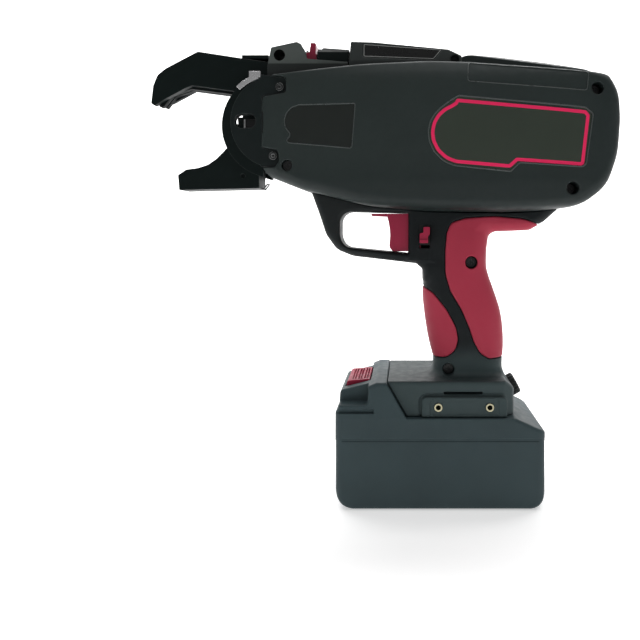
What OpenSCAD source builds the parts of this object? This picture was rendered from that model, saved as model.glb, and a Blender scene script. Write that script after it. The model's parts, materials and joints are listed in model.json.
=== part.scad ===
// Rebar tying tool, hand held, cordless.
// X runs along the tool with the nose at -X, Z is up, the side with the large
// badge is at -Y. The origin is the middle of the battery's base.

/* [Housing] */
// Wall thickness of the clamshell halves
wall = 2.6; // [2.2:0.1:3]
// Thickness of the soft grip skins
grip_t = 2.2; // [1.8:0.1:2.6]
// Thickness of the side badge plate
badge_t = 0.8; // [0.6:0.1:1]
// Diameter of the hanging eye in the feed frame
eye_d = 7.6; // [6.6:0.2:7.8]

/* [Battery] */
// Width of the battery
bat_w = 77; // [76:0.5:78]
// Length of one cell
cell_l = 65; // [62:0.5:66]
// Clearance of the battery on its rails
rail_fit = 0.4; // [0.3:0.05:0.5]

/* [Belt hook mounts] */
// Distance between the two thread inserts
insert_pitch = 33; // [31:0.5:34]
// Drilled diameter of each insert, for an M4 thread
insert_bore = 3.3; // [3:0.1:3.4]

/* [Wire feed] */
// Radius of the wire reel's flanges
reel_r = 45; // [42:0.5:46]
// Outer radius of the wound wire
coil_r = 30; // [22:1:40]

/* [Twister] */
// Height of the twisting axis above the base
axis_z = 250.5; // [250:0.1:251]
// Module of the planetary gears
plan_m = 0.8; // [0.75:0.01:0.8]

/* [Hidden] */
$fn = 48;
feed_m = 0.9;

c_body = [0.17, 0.19, 0.20];
c_dark = [0.09, 0.10, 0.10];
c_batt = [0.22, 0.26, 0.28];
c_red = [0.60, 0.10, 0.20];
c_grip = [0.58, 0.20, 0.28];
c_steel = [0.66, 0.67, 0.68];
c_brass = [0.78, 0.62, 0.30];

// ---------- outlines with rounded corners ----------
function xy(p) = [p[0], p[1]];
function fillet(a, b, c, r, n) =
  let(u = (a - b)/norm(a - b), v = (c - b)/norm(c - b),
      th = acos(max(-0.999999, min(0.999999, u*v))))
  (r < 0.02 || th > 178.5) ? [b] :
  let(t = min(r/tan(th/2), 0.48*norm(a - b), 0.48*norm(c - b)),
      rr = t*tan(th/2), ctr = b + (u + v)/norm(u + v)*rr/sin(th/2),
      p0 = b + u*t - ctr, p1 = b + v*t - ctr,
      a0 = atan2(p0[1], p0[0]), a1 = atan2(p1[1], p1[0]),
      da = ((a1 - a0 + 540) % 360) - 180)
  [for (i = [0:n]) ctr + rr*[cos(a0 + da*i/n), sin(a0 + da*i/n)]];
function rp(P, n = 4) = let(L = len(P))
  [for (i = [0:L - 1]) each fillet(xy(P[(i + L - 1) % L]), xy(P[i]), xy(P[(i + 1) % L]),
      len(P[i]) > 2 ? P[i][2] : 0, n)];
function area2(P, i = 0, s = 0) = i == len(P) ? s :
  area2(P, i + 1, s + P[i][0]*P[(i + 1) % len(P)][1] - P[(i + 1) % len(P)][0]*P[i][1]);
// moves every edge of an outline inwards by k, or outwards when k is negative
function inset(P, k) = let(L = len(P), s = area2(P) > 0 ? 1 : -1)
  [for (i = [0:L - 1])
    let(a = xy(P[(i + L - 1) % L]), b = xy(P[i]), c = xy(P[(i + 1) % L]),
        d1 = (b - a)/norm(b - a), d2 = (c - b)/norm(c - b),
        n1 = s*[-d1[1], d1[0]], n2 = s*[-d2[1], d2[0]],
        q = b + k*(n1 + n2)/(1 + n1*n2), r = len(P[i]) > 2 ? P[i][2] : 0,
        cv = s*(d1[0]*d2[1] - d1[1]*d2[0]) > 0)
    [q[0], q[1], r == 0 ? 0 : max(0.3, cv ? r - k : r + k)]];

// solids drawn in the side view, the front view and the top view
module py(P, y0, y1) translate([0, y1, 0]) rotate([90, 0, 0]) linear_extrude(y1 - y0) polygon(P);
module px(P, x0, x1) translate([x0, 0, 0]) rotate([90, 0, 90]) linear_extrude(x1 - x0) polygon(P);
module pz(P, z0, z1) translate([0, 0, z0]) linear_extrude(z1 - z0) polygon(P);
module cy(x, z, r, y0, y1) translate([x, y1, z]) rotate([90, 0, 0]) cylinder(r = r, h = y1 - y0);
module cx(y, z, r, x0, x1) translate([x0, y, z]) rotate([0, 90, 0]) cylinder(r = r, h = x1 - x0);
module cz(x, y, r, z0, z1) translate([x, y, z0]) cylinder(r = r, h = z1 - z0);
module bx(x0, x1, y0, y1, z0, z1) translate([x0, y0, z0]) cube([x1 - x0, y1 - y0, z1 - z0]);
module left_half() bx(-220, 160, -90, -0.04, -10, 340);
module right_half() bx(-220, 160, 0.04, 90, -10, 340);

// ---------- gears with involute flanks ----------
function inv(a) = tan(a)*180/PI - a;
function flank(r, n, m, bl) = let(rb = n*m/2*cos(20))
  90/n - bl/(n*m)*180/PI + inv(20) - inv(r > rb ? acos(rb/r) : 0);
function gear(n, m, add, ded, bl, ph = 0) =
  let(p = n*m/2, rs = [p - ded*m, max(p - ded*m + 0.05, p*cos(20)), p, p + add*m])
  [for (i = [0:n - 1]) let(a = ph + 360*i/n) each concat(
    [for (r = rs) let(f = flank(r, n, m, bl)) r*[cos(a - f), sin(a - f)]],
    [for (j = [3:-1:0]) let(r = rs[j], f = flank(r, n, m, bl)) r*[cos(a + f), sin(a + f)]])];
// phase of a gear of nb teeth that meshes with one of na teeth at phase pa, seen at angle phi
function mesh(pa, na, nb, phi) = phi + 180 - (0.5 - (phi - pa)*na/360)*360/nb;
function at(P, x, z) = [for (p = P) [p[0] + x, p[1] + z]];

// ---------- body outlines ----------
SIDE_L = [[-117.3, 281, 1], [-52, 287.5, 200], [-6, 290, 200], [20, 289, 200], [96, 282.8, 40],
  [112, 281, 10], [122.6, 268, 16], [124.6, 252, 30], [120.8, 229, 40], [109.8, 206.8, 30],
  [92.4, 193.6, 25], [66, 190.3, 60], [43, 189, 100], [-6, 190, 100], [-48, 194, 100],
  [-92, 205, 60], [-117.3, 215, 1]];
SIDE_R = [[-84, 284, 1], [-82, 299, 3], [-58, 297.5, 20], [-8, 292.5, 20], [3, 292, 8], [14, 297, 12],
  [26, 303, 12], [45, 305, 40], [77, 302, 40], [98, 296, 25], [111.6, 285, 20], [121.6, 268, 25],
  [124.6, 250, 30], [120.8, 229, 40], [109.8, 206.8, 30], [92.4, 193.6, 25], [66, 190.3, 60],
  [43, 189, 100], [-6, 190, 100], [-48, 194, 100], [-84, 203, 1]];
SIDE_N = [[-117.3, 281, 1], [-74, 285.6, 1], [-74, 200.5, 1], [-92, 205, 60], [-117.3, 215, 1]];
SECT_L = [[8, 184], [-20, 184, 8], [-33, 193, 10], [-37, 214, 30], [-37, 262, 30], [-33.2, 279, 14],
  [-25.5, 289.6, 3], [-24, 293], [-24, 300], [8, 300]];
PLAN_L = [[-118, 8], [-118, -19.5], [-95, -24.5, 40], [-45, -33.5, 80], [5, -37, 80], [84, -37, 40],
  [112, -31.8, 20], [123, -19, 14], [125, 8]];
PLAN_R = [[-86, -8], [-86, 33, 3], [-78, 37.2, 5], [100, 37.2, 18], [125, 26, 12], [125, -8]];
PLAN_N = [[-118, -8], [-118, 19.5], [-98, 22.5, 30], [-74, 25.8], [-74, -8]];
PLATE = [[-119, 281.5, 1], [-101.5, 279, 3], [-101.5, 269, 2], [-117.5, 267, 1], [-118.7, 258, 1],
  [-117.5, 256, 1], [-117.5, 243, 1], [-120.8, 240, 1], [-121, 233, 1], [-107.2, 230.5, 3],
  [-106.2, 223.5, 3], [-109, 220, 2], [-119, 220, 1]];
plate_x = -108; plate_z = 250; plate_r = 31;
ring_x = -110.3; ring_z = 248; ring_r = 35.3;
BADGE = [[6, 266, 6], [94, 258.5, 5], [97, 255, 2], [93, 221, 5], [52, 223, 4], [46, 216.5, 3],
  [9, 220, 14], [-7, 236, 16], [-5, 254, 16]];

module body_l(k) intersection() {
  py(rp(inset(SIDE_L, k)), -60, 10);
  px(rp(inset(SECT_L, k)), -130, 130);
  pz(rp(inset(PLAN_L, k)), 170, 320);
}
// the drum's top falls away towards the parting plane
module drum_slope(k) translate([26, 0, 299.4 - k]) rotate([19.3, 7.1, 0]) translate([-40, -40, 0]) cube([200, 140, 60]);
module body_r(k) union() {
  difference() {
    intersection() { py(rp(inset(SIDE_R, k)), -10, 60); pz(rp(inset(PLAN_R, k)), 170, 320); }
    drum_slope(k);
  }
  intersection() { py(rp(inset(SIDE_N, k)), -10, 60); pz(rp(inset(PLAN_N, k)), 170, 320); }
}

// ---------- handle ----------
// rows: height, front, rear, half width, squareness of the section
HS = [[198, -20, 42, 14.5, 0.5], [190, -20, 38, 15.5, 0.5], [182, -20, 35.5, 16, 0.5], [172, -20, 33.6, 16.6, 0.52],
  [160, -17, 33.2, 17, 0.58], [152, -11, 33.4, 17, 0.66], [145, -10, 35.5, 17.2, 0.72], [135, -10.2, 39, 17.6, 0.75],
  [124, -9.3, 42.4, 18, 0.75], [112, -7.8, 44.6, 18.2, 0.75], [100, -5.2, 45, 18, 0.75], [90, -3, 44.2, 17.8, 0.72],
  [84, -4, 44.2, 19, 0.66], [78, -9, 45.5, 23, 0.6]];
hn = 24;
function sgnpow(v, e) = v < 0 ? -pow(-v, e) : pow(v, e);
function ring(s, k) = let(xc = (s[1] + s[2])/2, a = (s[2] - s[1])/2 - k, b = s[3] - k)
  [for (j = [0:hn - 1]) let(t = 360*j/hn) [xc + a*sgnpow(cos(t), s[4]), b*sgnpow(sin(t), s[4])]];
module loft(S, k) for (i = [0:len(S) - 2]) hull() {
  pz(ring(S[i], k), S[i][0] - 0.02, S[i][0]);
  pz(ring(S[i + 1], k), S[i + 1][0] - 0.02, S[i + 1][0]);
}
FLANGE = [[28, 196], [28, 178, 1], [37, 176.8, 3], [66, 178.7, 4], [73, 184, 4], [86, 196]];
module handle_shape(k) { loft(HS, k); py(rp(inset(FLANGE, k)), -14 + k, 14 - k); }
REAR_RED = [[5.6, 179, 4], [9, 184, 4], [18, 186.2, 6], [38.4, 187.4, 20], [59, 185.8, 10], [80, 180, 1],
  [80, 150], [56, 91.2], [33.3, 91.2, 5], [27, 95, 6], [22.6, 103, 12], [20, 112.3, 20], [14.8, 124.6, 20],
  [7.6, 136.5, 15], [4, 148, 15], [4, 164, 15]];
FRONT_RED = [[-16, 142, 1], [-9, 139.4, 1], [-3.6, 136, 10], [5.6, 124.6, 20], [12, 113, 15], [13.6, 104.5, 8],
  [11.5, 97, 7], [5.6, 92, 5], [-1, 91.2, 3], [-16, 91.2, 1]];
module grip_cut(R) difference() { py(rp(R), -40, 40); handle_shape(grip_t); }
GUARD = [[-85.6, 203, 1], [-81.2, 189, 10], [-76.4, 174.5, 12], [-69.4, 164.4, 8], [-58.6, 160.1, 10], [-14, 155.2, 4],
  [-9.6, 150, 2], [0, 150], [0, 197], [-40, 197]];
GAP = [[-67, 191, 11], [-67, 166.4, 12], [-20.4, 161.8, 1], [-20.4, 189.6, 0.5], [-46, 190.2, 1]];
FOOT = [[-34, 80, 1], [-21.3, 58.1, 0.6], [49.6, 58.1, 1], [49.2, 74.4, 2], [42.6, 80.2, 2]];
FOOT_P = [[-40, -34], [42, -34, 8], [50, -28, 8], [50, 28, 8], [42, 34, 8], [-40, 34]];
PAD = [[-11.8, 58.1, 1], [43, 58.1, 1], [43, 70.8, 3], [-11.8, 70.8, 3]];
ins_x = 15.3; ins_z = 64.2;
dial_x = 51.5; dial_z = 70.5; dial_tilt = 62;
module along_dial() translate([dial_x, 0, dial_z]) rotate([0, dial_tilt, 0]) children();

screw_at = [[102.5, 270], [86, 205], [-100.5, 220.5]];
module lower_solid() difference() {
  union() {
    difference() { py(rp(GUARD), -12, 12); py(rp(GAP), -30, 30); }
    handle_shape(0);
    intersection() { py(rp(FOOT), -60, 60); pz(rp(FOOT_P), 40, 100); }
    py(rp(PAD), -36, 36);
  }
  grip_cut(REAR_RED);
  grip_cut(FRONT_RED);
  // hollow of the grip, trigger bay and wire way
  bx(-21, 0, -8.9, 8.9, 162, 189.8);
  py([[-15.5, 187.5], [-15.5, 163], [-4, 157], [12, 144], [12, 84], [31, 84], [31, 120], [26, 145], [26, 187.5]], -12.8, 12.8);
  bx(14, 29, -9, 9, 74, 90);
  // battery rail channel and terminal bay
  bx(-40, 45, -24 - rail_fit, 24 + rail_fit, 61, 69 + rail_fit);
  bx(-40, 45, -19.7 - rail_fit, 19.7 + rail_fit, 50, 62);
  bx(18, 45, -19, 19, 69, 76);
  along_dial() { translate([0, 0, -3.9]) cylinder(r = 8.2, h = 30); translate([0, 0, -14]) cylinder(r = 3.06, h = 20); }
  for (s = [-1, 1], i = [-1, 1]) cy(ins_x + i*insert_pitch/2, ins_z, 2.6, s < 0 ? -40 : 27.9, s < 0 ? -27.9 : 40);
  cy(22, 156, 1.7, -40, 40); cy(22, 156, 4.3, -40, -10); cy(22, 156, 4.3, 10, 40);
  cy(6.6, 84.4, 1.7, -40, 40); cy(6.6, 84.4, 3.9, -40, -12); cy(6.6, 84.4, 3.9, 12, 40);
}
module nose_opening() {
  bx(-125, -113, -16.3, 16.3, 218, 300);
  for (s = [0, 1]) mirror([0, s, 0]) py(rp(inset(PLATE, -0.2)), -60, -16.1);
}
module top_opening() bx(-125, -60.6, -15.8, 15.8, 270, 320);

module left_housing() color(c_body) intersection() {
  left_half();
  difference() {
    body_l(0);
    difference() { body_l(wall); for (p = screw_at) cy(p[0], p[1], 4.9, -60, 0); }
    difference() { py(rp(BADGE), -60, -20); body_l(badge_t); }
    nose_opening();
    top_opening();
    bx(-61, 16, -18, 10, 285, 320);
    for (p = screw_at) { cy(p[0], p[1], 1.7, -60, 1); cy(p[0], p[1], 4.1, -60, p[0] < 0 ? -18 : -20); }
  }
}
module left_handle() color(c_body) intersection() {
  left_half();
  difference() {
    lower_solid();
    body_l(-0.02);
    bx(-13, -5.7, -30, -10, 165.6, 181);
    bx(-15.2, -3.6, -12.9, -10, 164.2, 182);
  }
}

hinge_x = -20; hinge_y = 40.6; reel_x = 62; reel_z = 247;
module right_housing() color(c_body) intersection() {
  right_half();
  union() {
    difference() {
      union() {
        difference() {
          body_r(0);
          difference() { body_r(wall); cy(reel_x, reel_z, 49.6, -20, 60); cy(-100.5, 220.5, 4.6, -20, 60); }
          cy(reel_x, reel_z, 47, 2.8, 60);
        }
        py(rp([[-80, 289, 6], [-27, 286, 3], [-27, 202, 3], [-80, 210, 6]]), 36, 40);
      }
      nose_opening();
      top_opening();
      bx(-61, 16, -10, 18, 285, 320);
      cz(hinge_x, hinge_y, 4.2, 180, 320);
      for (p = screw_at) cy(p[0], p[1], 1.6, -1, p[0] < 0 ? 10 : 2.6);
      bx(-71, -37, 39.2, 50, 221, 285);
      cy(-79.2, 271, 1.9, 20, 60);
      cy(reel_x, reel_z, 6.04, -1, 5);
      bx(2, 22, 4, 10, 284.5, 289.5);
    }
    // fixed hinge knuckles with their pin
    for (z = [[216, 230], [248, 262], [280, 287]]) { cz(hinge_x, hinge_y, 3.5, z[0], z[1]); bx(-28, hinge_x, 37, 40, z[0], z[1]); }
    cz(hinge_x, hinge_y, 1.5, 198, 288);
  }
}
module right_handle() color(c_body) intersection() {
  right_half();
  difference() { lower_solid(); body_r(-0.02); }
}
module rear_grip() color(c_grip) for (s = [0, 1]) mirror([0, s, 0]) intersection() {
  left_half();
  difference() { intersection() { handle_shape(0); py(rp(inset(REAR_RED, 0.1)), -40, 40); } handle_shape(grip_t - 0.1); cy(22, 156, 4.3, -40, 40); }
}
module front_grip() color(c_grip) for (s = [0, 1]) mirror([0, s, 0]) intersection() {
  left_half();
  difference() { intersection() { handle_shape(0); py(rp(inset(FRONT_RED, 0.1)), -40, 40); } handle_shape(grip_t - 0.1); }
}
module side_badge() color(c_red) difference() {
  intersection() { body_l(0); py(rp(inset(BADGE, 0.1)), -60, -20); }
  body_l(badge_t - 0.05);
}

// ---------- top of the tool ----------
COVER = [[-60.3, 285.3, 0.5], [-59.2, 304.9, 1.2], [-44, 304.4, 30], [6.6, 299.3, 4], [15.4, 294.8, 2], [15.4, 285.3, 0.5]];
module top_cover() color(c_dark) difference() {
  intersection() {
    py(rp(COVER), -17.7, 17.7);
    px(rp([[-17.7, 280], [-17.7, 291, 2], [-14.4, 306.4, 1.2], [14.4, 306.4, 1.2], [17.7, 291, 2], [17.7, 280]]), -70, 30);
  }
  intersection() {
    py(rp(inset(COVER, 2)), -15.5, 15.5);
    px(rp([[-15.4, 270], [-15.4, 290, 2], [-12.2, 305, 1.5], [12.2, 305, 1.5], [15.4, 290, 2], [15.4, 270]]), -70, 30);
  }
  bx(-58, 13.2, -15.4, 15.4, 280, 288);
  bx(-34, -20, 4, 12, 290, 320);
}
module top_window() color([0.8, 0.84, 0.84]) {
  bx(-33.7, -20.3, 4.3, 11.7, 296, 306.5);
  bx(-35.5, -18.5, 2.6, 12.6, 295, 296);
}
FRAME = [[-115, 276.5, 0.5], [-115, 288.6, 0.5], [-112.6, 300.6, 1], [-95.4, 304.3, 1.5], [-92.6, 303, 1], [-89.4, 297.5, 1],
  [-88.6, 293, 1], [-61, 290.8, 0.5], [-61, 276.5, 0.5]];
dg = [-94, 281]; ig = [-94, 281 + 16*feed_m]; fm = [-71.5, 295];
lv = [-76, 284];
module feed_frame() color(c_dark) difference() {
  py(rp(FRAME), -15.5, 15.5);
  bx(-102.2, -63.5, -13, 13, 278.5, 320);
  bx(-103, -85.4, -5, 5, 270, 286);
  bx(-102, -71, 7.8, 12.7, 270, 280);
  bx(-65, -60, -4, 4, 284, 292);
  cy(-107, 295.4, eye_d/2, -20, 20);
  cy(dg[0], dg[1], 2.56, -20, 20);
  cy(lv[0], lv[1], 2.06, -20, -12);
  cy(tg[0], tg[1], 2.06, 8, 20);
  cx(0, 288.2, 1.6, -120, -100);
}
// the transfer gear sits where both its partners mesh
d1 = 16*0.8/2 + 20*0.8/2; d2 = 20*0.8/2 + 12*0.8/2;
dd = norm(fm - dg); ta = (d1*d1 - d2*d2 + dd*dd)/(2*dd); th_ = sqrt(d1*d1 - ta*ta);
tu = (fm - dg)/dd; tg = dg + ta*tu + th_*[tu[1], -tu[0]];
phi1 = atan2(tg[1] - dg[1], tg[0] - dg[0]); phi2 = atan2(fm[1] - tg[1], fm[0] - tg[0]);
ph_t = mesh(0, 16, 20, phi1); ph_p = mesh(ph_t, 20, 12, phi2);
module feed_cover() color(c_dark) difference() {
  intersection() {
    union() {
      py(rp([[-79.4, 292.32, 0.2], [-79.4, 303.2, 1.2], [-60.75, 300.9, 0.8], [-60.75, 290.95, 0.2]]), -15, 15);
      py(rp([[-81.8, 292.75, 0.2], [-81.8, 303.4, 0.8], [-78, 303, 0.3], [-78, 292.4, 0.2]]), -15, -8.3);
    }
    px([[-15, 280], [-15, 297.6], [-6, 303], [-6, 310], [15, 310], [15, 280]], -90, -50);
  }
  intersection() {
    py([[-77.8, 290], [-77.8, 301.9], [-63.8, 300.1], [-63.8, 290]], -13.4, 13.4);
    px([[-13.4, 280], [-13.4, 297], [-6.2, 301.2], [-6.2, 310], [13.4, 310], [13.4, 280]], -90, -50);
  }
  bx(-81, -77.7, 7.8, 12.7, 285, 295.4);
}
module feed_motor() color(c_steel) difference() {
  union() { cy(fm[0], fm[1], 5.5, -6.4, 5); cy(fm[0], fm[1], 3, 5, 7); }
  cy(fm[0], fm[1], 1.03, 1, 8);
}
module feed_pinion() color(c_brass) { py(at(gear(12, 0.8, 0.8, 1.25, 0.2, ph_p), fm[0], fm[1]), 8.3, 12.2); cy(fm[0], fm[1], 1, 1.5, 8.4); }
module transfer_gear() color(c_steel) { py(at(gear(20, 0.8, 0.8, 1.25, 0.2, ph_t), tg[0], tg[1]), 8.3, 12.2); cy(tg[0], tg[1], 2, 12.1, 15.4); }
module feed_drive_gear() color(c_steel) {
  py(at(gear(16, 0.8, 0.8, 1.25, 0.2, 0), dg[0], dg[1]), 8.3, 12.2);
  py(at(gear(16, feed_m, 0.8, 1.25, 0.2, 0), dg[0], dg[1]), -3.5, 3.5);
  cy(dg[0], dg[1], 2.5, -15.4, 15.4);
}
module feed_idler_gear() color(c_steel) difference() {
  py(at(gear(16, feed_m, 0.8, 1.25, 0.2, mesh(0, 16, 16, 90)), ig[0], ig[1]), -3.5, 3.5);
  cy(ig[0], ig[1], 1.56, -10, 10);
}
LEVER = [[-80, 283, 3], [-76, 279.8, 3.5], [-72, 283, 3], [-73.5, 287, 3], [-80.4, 290.2, 2], [-83.8, 296, 2], [-83.6, 306, 1], [-87.4, 306, 1],
  [-88, 299.5, 1], [-94, 299, 3], [-97.4, 295.4, 3], [-94, 291.6, 3], [-84, 289.4, 2]];
module release_lever() color(c_red) {
  difference() {
    py(rp(LEVER), -7.5, 7.5);
    bx(-110, -60, -4.3, 4.3, 270, 299.4);
    cy(ig[0], ig[1], 9.2, -4.3, 4.3);
    bx(-99, -60, -8, 8, 303.2, 320);
  }
  py(rp([[-87.4, 301, 0.5], [-83.6, 301, 0.5], [-83.6, 306, 1], [-87.4, 306, 1]]), -7.5, 7.5);
  cy(ig[0], ig[1], 1.5, -5, 5);
  cy(lv[0], lv[1], 2, -15.3, -7);
}

// ---------- nose ----------
cut = [-106, 269.5];
module nose_frame() color(c_dark) union() {
 cy(-121.5, 224, 2, -15.8, 15.8);
 difference() {
  union() {
    intersection() { cy(ring_x, ring_z, ring_r, -15.9, 15.9); bx(-160, -117.6, -20, 20, 200, 300); }
    bx(-118, -76, -15.9, 15.9, 228, 276);
    for (s = [-1, 1]) cy(-110.3, 227.4, 4, s < 0 ? -15.9 : 8, s < 0 ? -8 : 15.9);
  }
  cx(0, axis_z, 13.5, -160, -80);
  cx(0, axis_z, 5.06, -90, -60);
  bx(-160, -115, -9.5, 9.5, 266.6, 310);
  bx(-160, -114.4, -10.4, 10.4, 200, 234.6);
  cy(-129.2, axis_z, 4.9, -30, 30);
  bx(-131.4, -127, -30, 30, axis_z - 4.9, axis_z + 4.9);
  bx(-160, -138.6, 8, 30, axis_z + 7.8, axis_z + 13); bx(-160, -142.4, 8, 30, axis_z + 3.4, axis_z + 8);
  cy(-131.4, axis_z, 4.9, -30, 30); cy(-127, axis_z, 4.9, -30, 30);
  bx(-113, -89, -3.5, 3.5, 261, 290);
  bx(-113, -85.4, -4.2, 4.2, 272.4, 290);
  bx(-102, -86, 7.8, 12.7, 273.3, 290);
  cy(cut[0], cut[1], 2.06, -8, 8);
  for (s = [-1, 1], p = [[-106, 273], [-110.3, 227.2]]) cy(p[0], p[1], 1.3, s < 0 ? -30 : 10.5, s < 0 ? -10.5 : 30);
  cy(-100.5, 220.5, 5.2, -20, 20);
 }
}
module nose_plate() difference() {
  union() {
    intersection() { cy(plate_x, plate_z, plate_r, -19, -16); bx(-160, -117.7, -30, 0, 200, 300); }
    intersection() { py(rp(PLATE), -19, -16); bx(-160, -90, -30, 0, 200, 300); }
  }
  cy(-131.4, axis_z, 4.9, -30, 0); cy(-127, axis_z, 4.9, -30, 0); bx(-131.4, -127, -30, 0, axis_z - 4.9, axis_z + 4.9);
  for (p = [[-106, 273], [-110.3, 227.2]]) cy(p[0], p[1], 1.4, -30, 0);
}
module left_nose_plate() color(c_dark) nose_plate();
module right_nose_plate() color(c_dark) mirror([0, 1, 0]) nose_plate();
module guide_strip() color(c_steel) difference() {
  union() {
    difference() {
      intersection() {
        cy(ring_x, ring_z, 36.2, -17.6, -16);
        translate([ring_x, 0, ring_z]) rotate([0, -108, 0]) py([[0, 0], [60, 0], [60*cos(26), 60*sin(26)]], -30, 0);
      }
      cy(ring_x, ring_z, 32.6, -30, 0);
    }
    bx(-127, -119.2, -17.6, -16, 280, 284.1);
  }
  cy(plate_x, plate_z, plate_r + 0.1, -30, 0);
}
ARM = [[-195.8, 264.4, 0.5], [-194.5, 276, 6], [-191.5, 283.6, 6], [-186, 288, 10], [-164, 299.6, 3], [-134, 295, 1], [-115.6, 292.4, 0.5],
  [-115.6, 268.2, 0.5], [-141, 272.8, 1], [-168, 276.4, 2], [-173.6, 274, 4], [-186, 267.3, 1], [-193.4, 262.6, 0.5]];
CORE = [[-192.6, 268, 1], [-192, 264, 1], [-189, 262.6, 0.6], [-182.6, 270.6, 3], [-170, 275, 4], [-141, 271.2, 1], [-115.6, 267, 0.5],
  [-115.6, 290.5, 0.5], [-163, 297, 3], [-186, 284, 8]];
arm_screw_at = [[-178.5, 283.4], [-188, 275.4]];
module arm_core() color(c_steel) difference() {
  py(rp(CORE), -4.9, 4.9);
  py(rp(inset([[-200, 250], [-200, 262], [-190.4, 263], [-183.4, 272, 4], [-170.4, 277.2, 6], [-141, 273.4], [-110, 268.6], [-110, 250]], 0)), -0.7, 0.7);
  for (p = arm_screw_at) cy(p[0], p[1], 1.25, -10, 10);
  cx(0, 288.2, 1.2, -125, -100);
}
module arm_left_plate() color(c_dark) difference() { py(rp(ARM), -9.2, -5); for (p = arm_screw_at) cy(p[0], p[1], 1.25, -7.5, 0); }
ARM_R = [[-170, 297.8, 1], [-164, 299.6, 3], [-134, 295, 1], [-115.6, 292.4, 0.5], [-115.6, 268.2, 0.5], [-141, 272.8, 1], [-168, 276.4, 2],
  [-170, 276, 1]];
ARM_T = [[-196, 265, 0.5], [-194.5, 276, 6], [-191.5, 283.6, 6], [-186, 288, 10], [-170.4, 296.3, 1], [-170.4, 275.6, 1], [-173.6, 274, 4], [-186, 267.3, 1],
  [-194, 264, 0.5]];
module arm_right_plate() color(c_dark) difference() {
  union() {
    py(rp(ARM_R), 5, 9.2);
    // flat cap over the arm's root
    bx(-134.5, -116.2, -7, 9.2, 295.6, 297.8);
    bx(-134.5, -116.2, 5.2, 9.2, 291, 296);
  }
  cy(-150, 286, 2.5, 7.6, 20); cy(-140, 285, 2.5, 7.6, 20);
}
module arm_tip_insert() color(c_steel) difference() { py(rp(ARM_T), 5, 8.6); for (p = arm_screw_at) cy(p[0], p[1], 1.4, 0, 20); }
module arm_screws() for (p = arm_screw_at) difference() {
  union() { cy(p[0], p[1], 2.7, 8.6, 9.8); cy(p[0], p[1], 1.2, -7, 8.7); }
  for (a = [45, 135]) translate([p[0], 9.5, p[1]]) rotate([0, a, 0]) cube([3.2, 1.4, 0.8], center = true);
}
GUIDE = [[-176.4, 205, 0.5], [-177.3, 215.2, 0.5], [-171.7, 219, 2], [-164, 220, 10], [-157, 222.2, 10], [-151, 226.4, 10], [-146.4, 231, 4], [-144.4, 233.4, 1],
  [-128, 233.4, 3], [-117, 228, 4], [-116.6, 221.4, 4], [-122, 217, 3], [-122, 206.3, 0.5]];
module lower_guide() color(c_dark) difference() {
  union() { py(rp(GUIDE), -9.8, 9.8); }
  cy(-121.5, 224, 2.06, -20, 20);
  py(rp([[-182, 230], [-172, 221, 2], [-164, 221.6, 8], [-157, 224, 8], [-148, 231], [-150, 240]]), -1, 1);
  cy(-133, 214.6, 1.6, -20, -8.6);
}
module guide_spring() color(c_steel) {
  for (y = [-3, 3]) py(rp([[-121.9, 207, 0.2], [-121.9, 206.2, 0.2], [-120.4, 205.4, 0.4], [-117.2, 209.6, 0.2], [-117.9, 210.1, 0.2], [-120.5, 206.6, 0.4], [-121.1, 207, 0.2]]), y - 0.4, y + 0.4);
  bx(-117.95, -117.25, -3.4, 3.4, 209.35, 210);
}
module plate_screws() for (s = [0, 1], p = [[-106, 273], [-110.3, 227.2]]) mirror([0, s, 0]) difference() {
  union() { cy(p[0], p[1], 2.7, -20.4, -19); cy(p[0], p[1], 1.2, -19.1, -11); }
  for (a = [0, 60, 120]) translate([p[0], -20.4, p[1]]) rotate([0, a, 0]) cube([1.3, 1.6, 2.25], center = true);
}

module nose_screws() color(c_steel) { arm_screws(); plate_screws(); }

// ---------- twister ----------
rs = 12; rpn = 15; rr_ = 42; car = (rs + rpn)*plan_m/2;
module twist_motor() color(c_steel) difference() {
  union() { cx(0, axis_z, 18, -51.4, 2); cx(0, axis_z, 6, 2, 8); cx(0, axis_z, 12, -52.6, -51); }
  cx(0, axis_z, 2.56, -60, -44);
  for (a = [0:60:300]) translate([0, 0, axis_z]) rotate([a, 0, 0]) bx(-8, -2, -3, 3, 15, 20);
}
module ring_gear() color(c_steel) difference() {
  cx(0, axis_z, 20.4, -75.5, -52.8);
  translate([0, 0, axis_z]) px(gear(rr_, plan_m, 1.25, 0.75, -0.2, 0), -72, -50);
  cx(0, axis_z, 8, -80, -60);
}
module sun_pinion() color(c_steel) { translate([0, 0, axis_z]) px(gear(rs, plan_m, 0.75, 1.25, 0.2, 0), -66.6, -57.8); cx(0, axis_z, 2.5, -58, -45); }
module planet(i) color(c_brass) difference() {
  translate([0, car*cos(120*i), axis_z + car*sin(120*i)]) px(gear(rpn, plan_m, 0.75, 1.25, 0.2, 0), -66.6, -58);
  cx(car*cos(120*i), axis_z + car*sin(120*i), 2.04, -80, -40);
}
module planet_gear_1() planet(0);
module planet_gear_2() planet(1);
module planet_gear_3() planet(2);
module hook_shaft() color(c_steel) {
  difference() {
    union() {
      cx(0, axis_z, 15.2, -71.4, -67.2);
      cx(0, axis_z, 5, -107, -71);
      bx(-124, -106.5, -2, 2, axis_z - 4.5, axis_z + 4.5);
    }
  }
  for (i = [0:2]) cx(car*cos(120*i), axis_z + car*sin(120*i), 2, -67.4, -57.4);
  for (s = [-1, 1]) bx(-121.5, -116.5, s < 0 ? -6 : 1.9, s < 0 ? -1.9 : 6, axis_z - 4.4, axis_z - 3);
  for (s = [-1, 1]) cz(-119, s*4.2, 1, axis_z - 3.2, axis_z + 3.4);
}
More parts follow.
